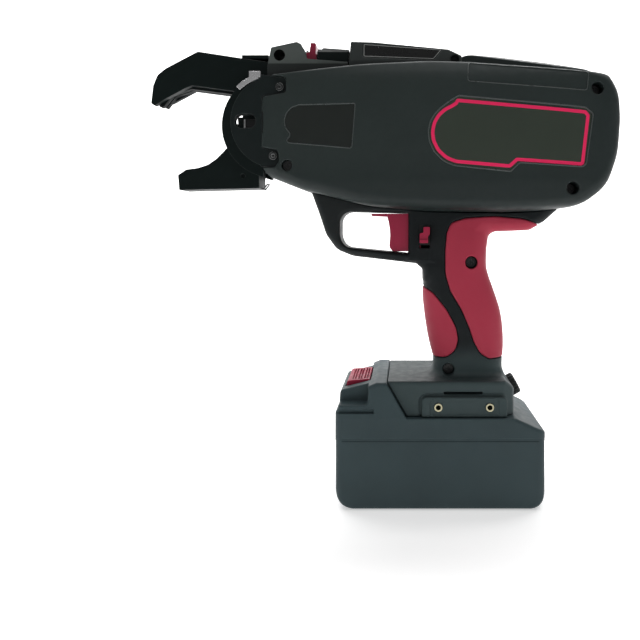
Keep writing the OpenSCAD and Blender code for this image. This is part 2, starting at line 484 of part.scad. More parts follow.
module twist_sleeve() color(c_steel) difference() {
  union() { cx(0, axis_z, 9, -106, -84); cx(0, axis_z, 11, -90, -84); cx(0, axis_z, 10, -106, -102); }
  cx(0, axis_z, 5.06, -120, -80);
}
hook_open = 9;
module hook(s) color(c_steel) translate([-119, s*4.2, 0]) rotate([0, 0, -s*hook_open]) translate([119, -s*4.2, 0]) difference() {
  pz(rp([[-116.6, s*2.6, 0.5], [-116.6, s*5.8, 1], [-121, s*6.8, 1], [-132, s*6.2, 1], [-133.6, s*3, 0.6], [-133.2, s*1.2, 0.4], [-130.6, s*1.2, 0.4], [-129.6, s*3.4, 1], [-124, s*2.9, 1]]), axis_z - 2.7, axis_z + 3.2);
  cz(-119, s*4.2, 1.05, axis_z - 10, axis_z + 10);
}
module left_hook() hook(-1);
module right_hook() hook(1);
module cutter_lever() color(c_steel) {
  cy(cut[0], cut[1], 2, -7.8, 7.8);
  py(rp([[-111, 269.5, 3], [-108.5, 274.2, 3], [-103.5, 274.2, 3], [-101, 271, 2], [-93.6, 268, 1.6], [-93.6, 264.6, 1.6], [-101.5, 266.4, 2], [-104, 265, 3], [-109, 265.4, 3]]), -3, 3);
}

// ---------- wire reel and door ----------
module wire_reel() color([0.75, 0.75, 0.73]) difference() {
  union() {
    cy(reel_x, reel_z, reel_r, 5, 7);
    cy(reel_x, reel_z, reel_r, 33.5, 35.6);
    cy(reel_x, reel_z, 17, 6, 34);
  }
  cy(reel_x, reel_z, 9.06, 0, 40);
  for (a = [0:60:300]) translate([reel_x, 0, reel_z]) rotate([0, a, 0]) cy(29, 0, 7, 0, 40);
}
module wire_coil() color([0.35, 0.34, 0.33]) difference() { cy(reel_x, reel_z, coil_r, 7.1, 33.4); cy(reel_x, reel_z, 17.1, 0, 40); }
module reel_axle() color(c_steel) { cy(reel_x, reel_z, 9, 3.8, 35); cy(reel_x, reel_z, 14, 2.9, 4); cy(reel_x, reel_z, 6, 0.2, 3); }
DOOR = [[-15.4, 288, 2], [3, 290.4, 8], [14, 295.6, 12], [26, 301.6, 12], [45, 303.6, 40], [77, 300.6, 40], [97.4, 294.6, 25], [109, 284, 20],
  [117.2, 267.4, 25], [119.6, 250, 30], [116.6, 228.6, 40], [107, 207.6, 30], [91.4, 195.4, 25], [66, 192, 60], [43, 190.6, 100], [-15.4, 192.4, 2]];
kn = [[200, 214], [232, 246], [264, 278]];
module reel_door() color(c_body) difference() {
  union() {
    difference() {
      py(rp(DOOR), 37.6, 41.2);
      // shallow pockets between the ribs
      py(rp([[-11, 280, 1], [20, 281, 1], [20, 250, 1], [-11, 250, 1]]), 39.4, 50);
      py(rp([[-11, 246, 1], [20, 246, 1], [20, 222, 1], [-11, 222, 1]]), 39.4, 50);
      py(rp([[-11, 218, 1], [54, 214, 1], [54, 197, 1], [-11, 197, 1]]), 39.4, 50);
      py(rp([[24, 281, 1], [54, 278, 1], [54, 218, 1], [24, 220, 1]]), 39.4, 50);
    }
    for (k = kn) { cz(hinge_x, hinge_y, 3.6, k[0], k[1]); bx(hinge_x, -14, 39.2, 41.2, k[0], k[1]); }
  }
  cz(hinge_x, hinge_y, 1.56, 180, 320);
  for (p = latch_at) { cy(p[0], p[1], 1.6, 30, 60); cy(p[0], p[1], 3.1, 30, 38.8); }
}
latch_at = [[90, 266], [89, 241]];
LATCH = [[60, 300.6, 2], [77, 299, 3], [77.4, 292, 3], [97, 284, 20], [109.6, 262, 10], [101, 255, 4], [99, 230, 2], [60, 230, 2]];
module door_latch() color(c_red) difference() {
  py(rp(LATCH), 41.5, 44.6);
  py(rp([[60, 297, 1], [76, 296, 1], [76, 238, 1], [60, 238, 1]]), 44, 50);
  for (p = latch_at) { cy(p[0], p[1], 1.9, 30, 60); cy(p[0], p[1] - 6, 1.9, 30, 60); bx(p[0] - 1.9, p[0] + 1.9, 30, 60, p[1] - 6, p[1]);
    cy(p[0], p[1], 4.4, 43, 60); cy(p[0], p[1] - 6, 4.4, 43, 60); bx(p[0] - 4.4, p[0] + 4.4, 43, 60, p[1] - 6, p[1]); }
}
module latch_screws() color(c_steel) for (p = latch_at) difference() {
  union() { cy(p[0], p[1], 3.9, 43.3, 45.4); cy(p[0], p[1], 1.5, 38, 43.4); }
  for (a = [0, 60, 120]) translate([p[0], 45.4, p[1]]) rotate([0, a, 0]) cube([1.7, 2.2, 2.9], center = true);
}

// ---------- trigger, controls ----------
module trigger() color(c_red) difference() {
  py(rp([[-31, 163.2, 2], [-33.4, 166, 4], [-32.6, 176, 30], [-34, 184, 3], [-34.6, 186, 1], [-34.6, 189, 0.5], [-11.6, 189, 0.5], [-11.6, 163.2, 1]]), -8.5, 8.5);
  cx(0, 175, 4.3, -24, 0);
}
module trigger_shield() color(c_red) py(rp([[-34.65, 186.9, 0.2], [-45.6, 187.4, 0.4], [-45.6, 189, 0.4], [-34.65, 189, 0.2]]), -8.5, 8.5);
module trigger_spring() color(c_steel) {
  n = 10; turns = 6; sides = 6; m = n*turns;
  pts = [for (i = [0:m]) for (j = [0:sides - 1]) let(a = 360*i/n, b = 360*j/sides, r = 3.4 + 0.4*cos(b))
    [-23.4 + 19.4*i/m + 0.4*sin(b), r*cos(a), 175 + r*sin(a)]];
  polyhedron(points = pts, faces = concat(
    [[for (j = [0:sides - 1]) j]], [[for (j = [0:sides - 1]) m*sides + sides - 1 - j]],
    [for (i = [0:m - 1]) for (j = [0:sides - 1]) let(k = (j + 1) % sides) each
      [[i*sides + j, (i + 1)*sides + j, (i + 1)*sides + k], [i*sides + j, (i + 1)*sides + k, i*sides + k]]]));
}
module trigger_switch() color(c_dark) { bx(-3.2, 12, -9.5, 9.5, 164.5, 186.5); for (y = [-5, 0, 5]) bx(12, 16, y - 1, y + 1, 170, 171); }
module trigger_lock() color(c_red) {
  py(rp([[-12.7, 169, 0.5], [-12.7, 175.6, 0.8], [-10.2, 176, 0.4], [-10.2, 179.8, 0.6], [-6, 179.8, 0.6], [-6, 175, 1.4], [-7.2, 173.4, 0.4], [-7.2, 169, 0.5]]), -17.6, -12.2);
  bx(-12.7, -7.2, -18.6, -12.2, 169.2, 171.2);
  bx(-14.8, -4, -12.5, -10.6, 167.6, 181.4);
}
module control_board() color([0.12, 0.33, 0.2]) { bx(20, 84, -27.4, -25.8, 218, 264); bx(30, 46, -25.8, -18, 226, 246); bx(54, 62, -25.8, -14, 228, 252); bx(70, 82, -25.8, -21.6, 240, 254); }
module adjust_dial() color(c_dark) along_dial() difference() {
  union() { translate([0, 0, -3.5]) cylinder(r = 7.2, h = 7); translate([0, 0, -7]) cylinder(r = 3, h = 4); }
  for (a = [0:20:340]) rotate([0, 0, a]) translate([7.5, 0, -4]) cylinder(r = 0.7, h = 9);
}
module terminal_block() color(c_dark) { bx(20, 42, -18, 18, 70, 75); for (y = [-12, 0, 12]) bx(26, 40, y - 0.4, y + 0.4, 63.5, 70.2); }
module thread_inserts() color(c_brass) for (s = [-1, 1], i = [-1, 1]) difference() {
  cy(ins_x + i*insert_pitch/2, ins_z, 2.55, s < 0 ? -36 : 28, s < 0 ? -28 : 36);
  cy(ins_x + i*insert_pitch/2, ins_z, insert_bore/2, -50, 50);
}
module cap_screw(x, z, y0, y1) difference() {
  union() { cy(x, z, 3.2, y0 - 1.95, y0 - 0.05); cy(x, z, 1.5, y0 - 0.1, y1); }
  translate([x, y0 - 1.95, z]) cube([1.2, 1.6, 4], center = true);
  translate([x, y0 - 1.95, z]) cube([4, 1.6, 1.2], center = true);
}
module housing_screws() color(c_dark) {
  for (p = screw_at) cap_screw(p[0], p[1], p[0] < 0 ? -18 : -20, p[0] < 0 ? 9 : 2.4);
  cap_screw(22, 156, -10, 9.5);
  cap_screw(6.6, 84.4, -12, 11.5);
}

// ---------- battery ----------
b2 = bat_w/2;
LOWER = [[-68, 43.3, 0.5], [-68, 0, 13], [68, 0, 11], [68, 43.3, 0.5]];
BAT_P = [[-68, -b2, 5.5], [68, -b2, 5.5], [68, b2, 5.5], [-68, b2, 5.5]];
module battery_lower_case() color(c_batt) difference() {
  intersection() { py(rp(LOWER), -b2, b2); pz(rp(BAT_P), -5, 60); }
  intersection() { py(rp(inset([[-68, 60], [-68, 0, 13], [68, 0, 11], [68, 60]], 2.3)), -b2 + 2.3, b2 - 2.3); pz(rp(inset(BAT_P, 2.3)), -5, 60); }
}
HUMP = [[-68, 43.5], [68, 43.5], [68, 48.6, 1.5], [48.2, 57.7, 1.5], [-21.8, 57.7, 0.3], [-34.6, 80, 1], [-41, 80, 3], [-47, 77.6, 2], [-64.8, 73.2, 1.5], [-65.6, 63.8, 2], [-68, 61, 2]];
module battery_upper_case() color(c_batt) difference() {
  union() {
    difference() {
      intersection() { py(rp(HUMP), -b2, b2); pz(rp(BAT_P), 40, 100); }
      for (s = [0, 1]) mirror([0, s, 0]) {
        py(rp([[-64.5, 66.2], [-46, 66.2, 2], [-45, 90], [-80, 90], [-80, 66.2]]), -60, -27.4);
        bx(-80, -42.4, -60, -36.4, 61, 63.8);
      }
      py([[-65.6, 40], [65.6, 40], [65.6, 47], [47, 55.4], [-65.6, 55.4]], -b2 + 2.3, b2 - 2.3);
      bx(-62.2, -45.4, -18.9, 18.9, 65.4, 100);
    }
    bx(-26, 44.4, -19.7, 19.7, 55.5, 62);
    intersection() { bx(-34, 44.4, -24, 24, 61.4, 69); py([[-34, 50], [60, 50], [60, 90], [-40, 90], [-27.5, 67]], -40, 40); }
  }
  for (y = [-12, 0, 12]) bx(20, 50, y - 1.6, y + 1.6, 61.8, 80);
}
module battery_cells() color([0.35, 0.5, 0.35]) for (i = [-2:2], z = [13, 32]) cy(i*19.2, z, 9.1, -cell_l/2, cell_l/2);
module battery_contacts() color(c_brass) for (y = [-12, 0, 12], s = [-1, 1]) bx(24, 36, y + s*1.15 - 0.3, y + s*1.15 + 0.3, 62, 68);
module battery_button() color(c_red) difference() {
  py(rp([[-61.4, 69, 0.5], [-61.4, 77.3, 2], [-46.2, 78.4, 1], [-46.2, 69, 0.5]]), -18.4, 18.4);
  for (i = [0:4]) translate([-58.4 + 2.5*i, 0, 77.6 + 0.18*i]) rotate([0, -4, 0]) cube([1.1, 30, 2.2], center = true);
}

left_housing();
right_housing();
left_handle();
right_handle();
rear_grip();
front_grip();
side_badge();
top_cover();
top_window();
feed_frame();
feed_cover();
feed_motor();
feed_pinion();
transfer_gear();
feed_drive_gear();
feed_idler_gear();
release_lever();
nose_frame();
left_nose_plate();
right_nose_plate();
guide_strip();
arm_core();
arm_left_plate();
arm_right_plate();
arm_tip_insert();
nose_screws();
lower_guide();
guide_spring();
twist_motor();
ring_gear();
sun_pinion();
planet_gear_1();
planet_gear_2();
planet_gear_3();
hook_shaft();
twist_sleeve();
left_hook();
right_hook();
cutter_lever();
wire_reel();
wire_coil();
reel_axle();
reel_door();
door_latch();
latch_screws();
trigger_shield();
trigger();
trigger_spring();
trigger_switch();
trigger_lock();
control_board();
adjust_dial();
terminal_block();
thread_inserts();
housing_screws();
battery_lower_case();
battery_upper_case();
battery_cells();
battery_contacts();
battery_button();
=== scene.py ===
import json
import math

import bpy
import bmesh
import numpy as np
from mathutils import Matrix, Vector
from mathutils.geometry import delaunay_2d_cdt


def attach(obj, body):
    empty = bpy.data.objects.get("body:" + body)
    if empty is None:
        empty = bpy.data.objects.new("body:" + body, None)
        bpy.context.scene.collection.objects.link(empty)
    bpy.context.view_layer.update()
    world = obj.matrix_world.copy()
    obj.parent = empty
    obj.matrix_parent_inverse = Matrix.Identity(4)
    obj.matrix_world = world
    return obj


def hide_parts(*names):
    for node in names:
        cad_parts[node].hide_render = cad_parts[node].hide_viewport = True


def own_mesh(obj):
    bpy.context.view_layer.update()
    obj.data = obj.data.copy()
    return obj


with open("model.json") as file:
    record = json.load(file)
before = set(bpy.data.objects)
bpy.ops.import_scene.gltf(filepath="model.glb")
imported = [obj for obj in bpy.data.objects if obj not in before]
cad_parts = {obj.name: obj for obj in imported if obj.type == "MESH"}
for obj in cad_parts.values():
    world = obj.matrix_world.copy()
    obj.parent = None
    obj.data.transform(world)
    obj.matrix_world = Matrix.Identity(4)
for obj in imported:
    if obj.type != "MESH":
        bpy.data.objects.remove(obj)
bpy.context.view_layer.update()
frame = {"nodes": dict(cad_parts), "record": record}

scene = bpy.context.scene
f32 = np.float32

# ---------------------------------------------------------------- camera
# The photograph's frame is 640 x 640. Its main view looks along +Y from 431.5 mm in front of the tool's middle plane.
CAM = (-21.9, -431.5, 177.8)
FOCAL, CX, CZ = 619.0, 406.0, 230.0
cam_data = bpy.data.cameras.new("camera")
cam_data.sensor_width = 36.0
cam_data.lens = FOCAL * 36.0 / 640.0
cam_data.shift_x = -(CX - 320.0) / 640.0
cam_data.shift_y = (CZ - 320.0) / 640.0
cam_data.clip_start, cam_data.clip_end = 0.01, 20.0
camera = bpy.data.objects.new("camera", cam_data)
camera.location = [c / 1000 for c in CAM]
camera.rotation_euler = (math.radians(90), 0, 0)
scene.collection.objects.link(camera)
scene.camera = camera


# ---------------------------------------------------------------- outlines and distance fields, in mm
def rp(P, n=10):
    """An outline with rounded corners from rows [x, z, radius]."""
    out, L = [], len(P)
    for i in range(L):
        a, b, c = (np.array(P[j % L][:2], float) for j in (i - 1, i, i + 1))
        r = P[i][2] if len(P[i]) > 2 else 0
        u, v = a - b, c - b
        lu, lv = np.linalg.norm(u), np.linalg.norm(v)
        u, v = u / lu, v / lv
        th = math.acos(max(-0.999999, min(0.999999, float(u @ v))))
        if r < 0.02 or th > math.radians(178.5):
            out.append(b)
            continue
        t = min(r / math.tan(th / 2), 0.48 * lu, 0.48 * lv)
        rr = t * math.tan(th / 2)
        ctr = b + (u + v) / np.linalg.norm(u + v) * rr / math.sin(th / 2)
        p0, p1 = b + u * t - ctr, b + v * t - ctr
        a0, a1 = math.atan2(p0[1], p0[0]), math.atan2(p1[1], p1[0])
        da = (a1 - a0 + 3 * math.pi) % (2 * math.pi) - math.pi
        out += [ctr + rr * np.array([math.cos(a0 + da * i2 / n), math.sin(a0 + da * i2 / n)]) for i2 in range(n + 1)]
    return np.array(out)


def offset(P, k):
    """Moves a closed outline inwards by k, or outwards when k is negative."""
    P = np.asarray(P, float)[:, :2]
    keep = np.linalg.norm(P - np.roll(P, 1, 0), axis=1) > 1e-6
    P = P[keep]
    s = 1 if np.sum(P[:, 0] * np.roll(P[:, 1], -1) - np.roll(P[:, 0], -1) * P[:, 1]) > 0 else -1
    d1 = P - np.roll(P, 1, 0)
    d1 /= np.linalg.norm(d1, axis=1)[:, None]
    d2 = np.roll(d1, -1, 0)
    n1, n2 = s * np.stack([-d1[:, 1], d1[:, 0]], 1), s * np.stack([-d2[:, 1], d2[:, 0]], 1)
    return P + k * (n1 + n2) / np.maximum(0.25, 1 + np.sum(n1 * n2, 1))[:, None]


def sd(P, u, v):
    """Signed distance to a closed outline, negative inside."""
    u, v = np.broadcast_arrays(np.asarray(u, f32), np.asarray(v, f32))
    P = np.asarray(P, float)
    d = np.full(u.shape, 1e9, f32)
    inside = np.zeros(u.shape, bool)
    for (ax, az), (bx, bz) in zip(P, np.roll(P, -1, 0)):
        ex, ez = bx - ax, bz - az
        q = ex * ex + ez * ez
        if q < 1e-12:
            continue
        wx, wz = u - f32(ax), v - f32(az)
        t = np.clip((wx * f32(ex) + wz * f32(ez)) / f32(q), 0, 1)
        dx, dz = wx - f32(ex) * t, wz - f32(ez) * t
        np.minimum(d, dx * dx + dz * dz, out=d)
        if az != bz:
            inside ^= ((az > v) != (bz > v)) & (u < f32(ex / ez) * (v - f32(az)) + f32(ax))
    d = np.sqrt(d)
    return np.where(inside, -d, d)


def hi(a, b, r=0.0):
    """What lies in both, with a fillet of radius r on the edge between them."""
    if r <= 0:
        return np.maximum(a, b)
    return np.minimum(np.maximum(a, b), -r) + np.hypot(np.maximum(a + r, 0), np.maximum(b + r, 0))


def lo(a, b, r=0.0):
    """What lies in either, with a fillet of radius r in the corner between them."""
    if r <= 0:
        return np.minimum(a, b)
    return np.maximum(np.minimum(a, b), r) - np.hypot(np.maximum(r - a, 0), np.maximum(r - b, 0))


def cut(a, b, r=0.0):
    return hi(a, -b, r)


def slab(v, v0, v1):
    return np.maximum(f32(v0) - v, v - f32(v1))


def brick(x, y, z, x0, x1, y0, y1, z0, z1, r=0.0):
    return hi(hi(slab(x, x0, x1), slab(y, y0, y1), r), slab(z, z0, z1), r)


def disc(u, v, cu, cv, r):
    return np.hypot(u - f32(cu), v - f32(cv)) - f32(r)


class Field:
    """Distances on a grid, with samples between its points."""

    def __init__(self, fn, low, high, h):
        self.o, self.h = np.array(low, float), float(h)
        n = [int(math.ceil((b - a) / h)) + 1 for a, b in zip(low, high)]
        x, y, z = (self.o[i] + h * np.arange(n[i]) for i in range(3))
        v = fn(x[:, None, None].astype(f32), y[None, :, None].astype(f32), z[None, None, :].astype(f32))
        self.v = np.ascontiguousarray(np.broadcast_to(v, n), dtype=f32)

    def at(self, p):
        q = (p - self.o) / self.h
        n = np.array(self.v.shape)
        q = np.clip(q, 0, n - 1.001)
        i = q.astype(np.int64)
        t = q - i
        flat, sy, sx = self.v.reshape(-1), n[2], n[1] * n[2]
        b = i[:, 0] * sx + i[:, 1] * sy + i[:, 2]
        out = 0
        for dx in (0, 1):
            for dy in (0, 1):
                for dz in (0, 1):
                    w = (t[:, 0] if dx else 1 - t[:, 0]) * (t[:, 1] if dy else 1 - t[:, 1]) * (t[:, 2] if dz else 1 - t[:, 2])
                    out = out + w * flat[b + dx * sx + dy * sy + dz]
        return out

    def grad(self, p, e=0.5):
        e *= self.h
        g = np.stack([self.at(p + d) - self.at(p - d) for d in np.eye(3) * e], 1)
        return g / np.maximum(1e-9, np.linalg.norm(g, axis=1))[:, None]

    def nets(self):
        """Points and quads of the surface between inside and outside."""
        V, S = self.v, self.v < 0
        n = V.shape
        c = np.zeros([k - 1 for k in n], np.uint8)
        sl = lambda d: tuple(slice(b, k - 1 + b) for b, k in zip(d, n))
        corners = [(i, j, k) for i in (0, 1) for j in (0, 1) for k in (0, 1)]
        for d in corners:
            c += S[sl(d)]
        active = (c > 0) & (c < 8)
        I = np.argwhere(active)
        index = np.full(c.shape, -1, np.int32)
        index[active] = np.arange(len(I))
        val = {d: V[tuple((I + d).T)].astype(float) for d in corners}
        acc, cnt = np.zeros((len(I), 3)), np.zeros(len(I))
        for a in corners:
            for k in range(3):
                if a[k]:
                    continue
                b = tuple(1 if m == k else a[m] for m in range(3))
                va, vb = val[a], val[b]
                m = (va < 0) != (vb < 0)
                t = np.where(m, va / np.where(m, va - vb, 1), 0)
                p = np.tile(np.array(a, float), (len(I), 1))
                p[:, k] += t
                acc[m] += p[m]
                cnt[m] += 1
        P = (I + acc / cnt[:, None]) * self.h + self.o
        quads = []
        for ax in range(3):
            b, d = (ax + 1) % 3, (ax + 2) % 3
            s0 = np.take(S, range(n[ax] - 1), ax)
            m = s0 != np.take(S, range(1, n[ax]), ax)
            E = np.argwhere(m)
            ok = (E[:, b] > 0) & (E[:, d] > 0) & (E[:, b] < n[b] - 1) & (E[:, d] < n[d] - 1)
            E = E[ok]
            out = s0[tuple(E.T)]

            def cell(db, dd):
                q = E.copy()
                q[:, b] -= db
                q[:, d] -= dd
                return index[tuple(q.T)]

            q = np.stack([cell(1, 1), cell(0, 1), cell(0, 0), cell(1, 0)], 1)
            q[~out] = q[~out][:, ::-1]
            quads.append(q)
        return P, np.concatenate(quads)

    def sharpen(self, P, Q, steps=2):
        """Moves points near an edge on to it, where the planes around each point meet."""
        to = np.concatenate([Q[:, i] for i in range(4) for j in range(4) if i != j])
        fr = np.concatenate([Q[:, j] for i in range(4) for j in range(4) if i != j])
        n = len(P)
        cnt = np.maximum(np.bincount(to, minlength=n), 1)
        for _ in range(steps):
            N = self.grad(P, 0.3)
            q = np.sum(N * P, 1)
            A, B = np.zeros((n, 3, 3)), np.zeros((n, 3))
            for i in range(3):
                B[:, i] = np.bincount(to, (N[:, i] * q)[fr], n) / cnt
                for j in range(i, 3):
                    A[:, i, j] = A[:, j, i] = np.bincount(to, (N[:, i] * N[:, j])[fr], n) / cnt
            lam = 0.04
            X = np.linalg.solve(A + lam * np.eye(3), (B + lam * P)[:, :, None])[:, :, 0]
            D = X - P
            L = np.linalg.norm(D, axis=1)
            P = P + D * np.minimum(1, 0.6 * self.h / np.maximum(L, 1e-9))[:, None]
        return P


def link(name, me):
    ob = bpy.data.objects.new(name, me)
    scene.collection.objects.link(ob)
    return ob


def applied(ob):
    """The object with its modifiers made part of its mesh."""
    dg = bpy.context.evaluated_depsgraph_get()
    me = bpy.data.meshes.new_from_object(ob.evaluated_get(dg), preserve_all_data_layers=True, depsgraph=dg)
    old = ob.data
    ob.modifiers.clear()
    ob.data = me
    bpy.data.meshes.remove(old)
    return ob


def solid(name, fn, low, high, h=0.6, keep=0.25, body="housing", stands_for=(), mat=None, sharp=True, mirror=False):
    """A moulded piece from a distance field: its surface is found, thinned out where it is flat, and shaded by the field."""
    F = Field(fn, low, high, h)
    P, Q = F.nets()
    if sharp:
        P = F.sharpen(P, Q)
    me = bpy.data.meshes.new(name)
    me.from_pydata((P / 1000).tolist(), [], Q.tolist())
    ob = link(name, me)
    if keep < 1:
        tri = ob.modifiers.new("tri", "TRIANGULATE")
        dec = ob.modifiers.new("dec", "DECIMATE")
        dec.ratio = keep
        applied(ob)
    me = ob.data
    n = len(me.loops)
    vi = np.empty(n, np.int32)
    me.loops.foreach_get("vertex_index", vi)
    co = np.empty(len(me.vertices) * 3, f32)
    me.vertices.foreach_get("co", co)
    co = co.reshape(-1, 3).astype(float) * 1000
    ls, lt = np.empty(len(me.polygons), np.int32), np.empty(len(me.polygons), np.int32)
    me.polygons.foreach_get("loop_start", ls)
    me.polygons.foreach_get("loop_total", lt)
    face = np.repeat(np.arange(len(ls)), lt)
    ctr = np.zeros((len(ls), 3))
    np.add.at(ctr, face, co[vi])
    ctr /= lt[:, None]
    d = ctr[face] - co[vi]
    L = np.linalg.norm(d, axis=1)
    q = co[vi] + d * np.minimum(0.35, 0.9 * h / np.maximum(L, 1e-9))[:, None]
    N = F.grad(q, 0.4)
    me.polygons.foreach_set("use_smooth", np.ones(len(ls), bool))
    me.normals_split_custom_set(N.tolist())
    me.update()
    if mirror:
        flip_y(ob, name)
    if mat:
        me.materials.append(mat)
    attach(ob, body)
    if stands_for:
        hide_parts(*([stands_for] if isinstance(stands_for, str) else stands_for))
    return ob


def outer_y(fn, low, high, h, side=-1):
    """The field's outermost surface as y over (x, z), seen from -Y (side -1) or +Y (side 1)."""
    F = Field(fn, low, high, h)
    V = F.v if side < 0 else F.v[:, ::-1, :]
    S = V < 0
    j = np.argmax(S, axis=1)
    hit = S.any(axis=1)
    j1 = np.clip(j, 1, V.shape[1] - 1)
    ii, kk = np.meshgrid(np.arange(V.shape[0]), np.arange(V.shape[2]), indexing="ij")
    a, b = V[ii, j1 - 1, kk], V[ii, j1, kk]
    y = (j1 - 1 + a / np.where(np.abs(a - b) < 1e-6, 1, a - b)) * h
    y = low[1] + y if side < 0 else low[1] + (V.shape[1] - 1) * h - y
    y = np.where(hit, y, np.nan)
    # fill past the edge with the nearest known value along x, then z
    for axis in (0, 1):
        for _ in range(60):
            bad = np.isnan(y)
            if not bad.any():
                break
            for s in (1, -1):
                r = np.roll(y, s, axis)
                y = np.where(np.isnan(y), r, y)

    def f(x, z):
        q0 = np.clip((np.asarray(x, float) - low[0]) / h, 0, y.shape[0] - 1.001)
        q1 = np.clip((np.asarray(z, float) - low[2]) / h, 0, y.shape[1] - 1.001)
        i, k = q0.astype(int), q1.astype(int)
        t, w = q0 - i, q1 - k
        return (y[i, k] * (1 - t) + y[i + 1, k] * t) * (1 - w) + (y[i, k + 1] * (1 - t) + y[i + 1, k + 1] * t) * w

    return f


def from_px(px, surf):
    """Photo pixels to (x, z) in mm on a surface y = surf(x, z)."""
    px = np.asarray(px, float)
    x, z = np.full(len(px), 0.0), np.full(len(px), 240.0)
    y = np.full(len(px), -30.0)
    for _ in range(12):
        s = (y - CAM[1]) / FOCAL
        x, z = (px[:, 0] - CX) * s + CAM[0], (CZ - px[:, 1]) * s + CAM[2]
        y = surf(x, z)
    return np.stack([x, z], 1)


def fill(outline, surf, drop, step=2.5, name="panel", body="housing", mat=None, out=-1, stands_for=None, thick=0.0):
    """A thin panel that follows a surface: drop mm below it."""
    P = np.asarray(outline, float)
    lo_, hi_ = P.min(0), P.max(0)
    gx, gz = np.arange(lo_[0] + step / 2, hi_[0], step), np.arange(lo_[1] + step / 2, hi_[1], step)
    G = np.array([(a, b) for a in gx for b in gz])
    G = G[sd(P, G[:, 0], G[:, 1]) < -0.4 * step]
    pts = [Vector(p) for p in P] + [Vector(p) for p in G]
    edges = [(i, (i + 1) % len(P)) for i in range(len(P))]
    v, _, f, *_ = delaunay_2d_cdt(pts, edges, [], 1, 1e-5)
    v = np.array([tuple(p) for p in v])
    y = surf(v[:, 0], v[:, 1]) - out * drop
    co = np.stack([v[:, 0], y, v[:, 1]], 1)
    me = bpy.data.meshes.new(name)
    faces = [tuple(t) for t in f]
    a, b, c = (co[[t[i] for t in faces]] for i in range(3))
    up = np.cross(b - a, c - a)[:, 1] * out > 0
    faces = [t if u else t[::-1] for t, u in zip(faces, up)]
    me.from_pydata((co / 1000).tolist(), [], faces)
    ob = link(name, me)
    if thick:
        m = ob.modifiers.new("t", "SOLIDIFY")
        m.thickness, m.offset = thick / 1000, -1
        applied(ob)
        me = ob.data
    me.polygons.foreach_set("use_smooth", np.ones(len(me.polygons), bool))
    me.set_sharp_from_angle(angle=math.radians(40))
    if mat:
        me.materials.append(mat)
    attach(ob, body)
    if stands_for:
        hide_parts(stands_for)
    return ob


def resample(P, step):
    """A closed line with points about step mm apart, corners kept."""
    out = []
    for a, b in zip(P, np.roll(P, -1, 0)):
        n = max(1, int(round(np.linalg.norm(b - a) / step)))
        out += [a + (b - a) * i / n for i in range(n)]
    return np.array(out)


def stripe(line, width, surf, drop, name, mat, body="housing", out=-1):
    """A closed printed line of an even width on a surface."""
    L = resample(np.asarray(line, float), 2.0)
    a, b = offset(L, -width / 2), offset(L, width / 2)
    n = min(len(a), len(b))
    co = []
    for p in np.concatenate([a[:n], b[:n]]):
        co.append((p[0], float(surf(p[0], p[1])) - out * drop, p[1]))
    faces = [(i, (i + 1) % n, n + (i + 1) % n, n + i) for i in range(n)]
    co = np.array(co)
    q = faces[0]
    nrm = np.cross(co[q[1]] - co[q[0]], co[q[2]] - co[q[0]])
    if nrm[1] * out < 0:
        faces = [t[::-1] for t in faces]
    me = bpy.data.meshes.new(name)
    me.from_pydata((co / 1000).tolist(), [], faces)
    ob = link(name, me)
    m = ob.modifiers.new("t", "SOLIDIFY")
    m.thickness, m.offset = 0.00006, -1
    applied(ob)
    ob.data.materials.append(mat)
    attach(ob, body)
    return ob


def rim(line, width, high, surf, name, mat, body="housing", out=-1, step=1.6):
    """A rounded bead of an even width along a closed line on a surface."""
    L = resample(np.asarray(line, float), step)
    k = np.linspace(-0.5, 0.5, 7)
    rows = []
    for t in k:
        q = offset(L, t * width)
        up = high * math.sqrt(max(0.0, 1 - 4 * t * t)) - 0.12
        rows.append(np.stack([q[:, 0], surf(q[:, 0], q[:, 1]) + out * up, q[:, 1]], 1))
    n = min(len(r) for r in rows)
    co = np.concatenate([r[:n] for r in rows])
    faces = [(a * n + i, a * n + (i + 1) % n, (a + 1) * n + (i + 1) % n, (a + 1) * n + i) for a in range(len(k) - 1) for i in range(n)]
    faces += [(i, (len(k) - 1) * n + i, (len(k) - 1) * n + (i + 1) % n, (i + 1) % n) for i in range(n)]
    me = bpy.data.meshes.new(name)
    me.from_pydata((co / 1000).tolist(), [], faces)
    bm = bmesh.new()
    bm.from_mesh(me)
    bmesh.ops.recalc_face_normals(bm, faces=bm.faces)
    bm.to_mesh(me)
    bm.free()
    me.polygons.foreach_set("use_smooth", np.ones(len(me.polygons), bool))
    me.materials.append(mat)
    ob = link(name, me)
    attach(ob, body)
    return ob


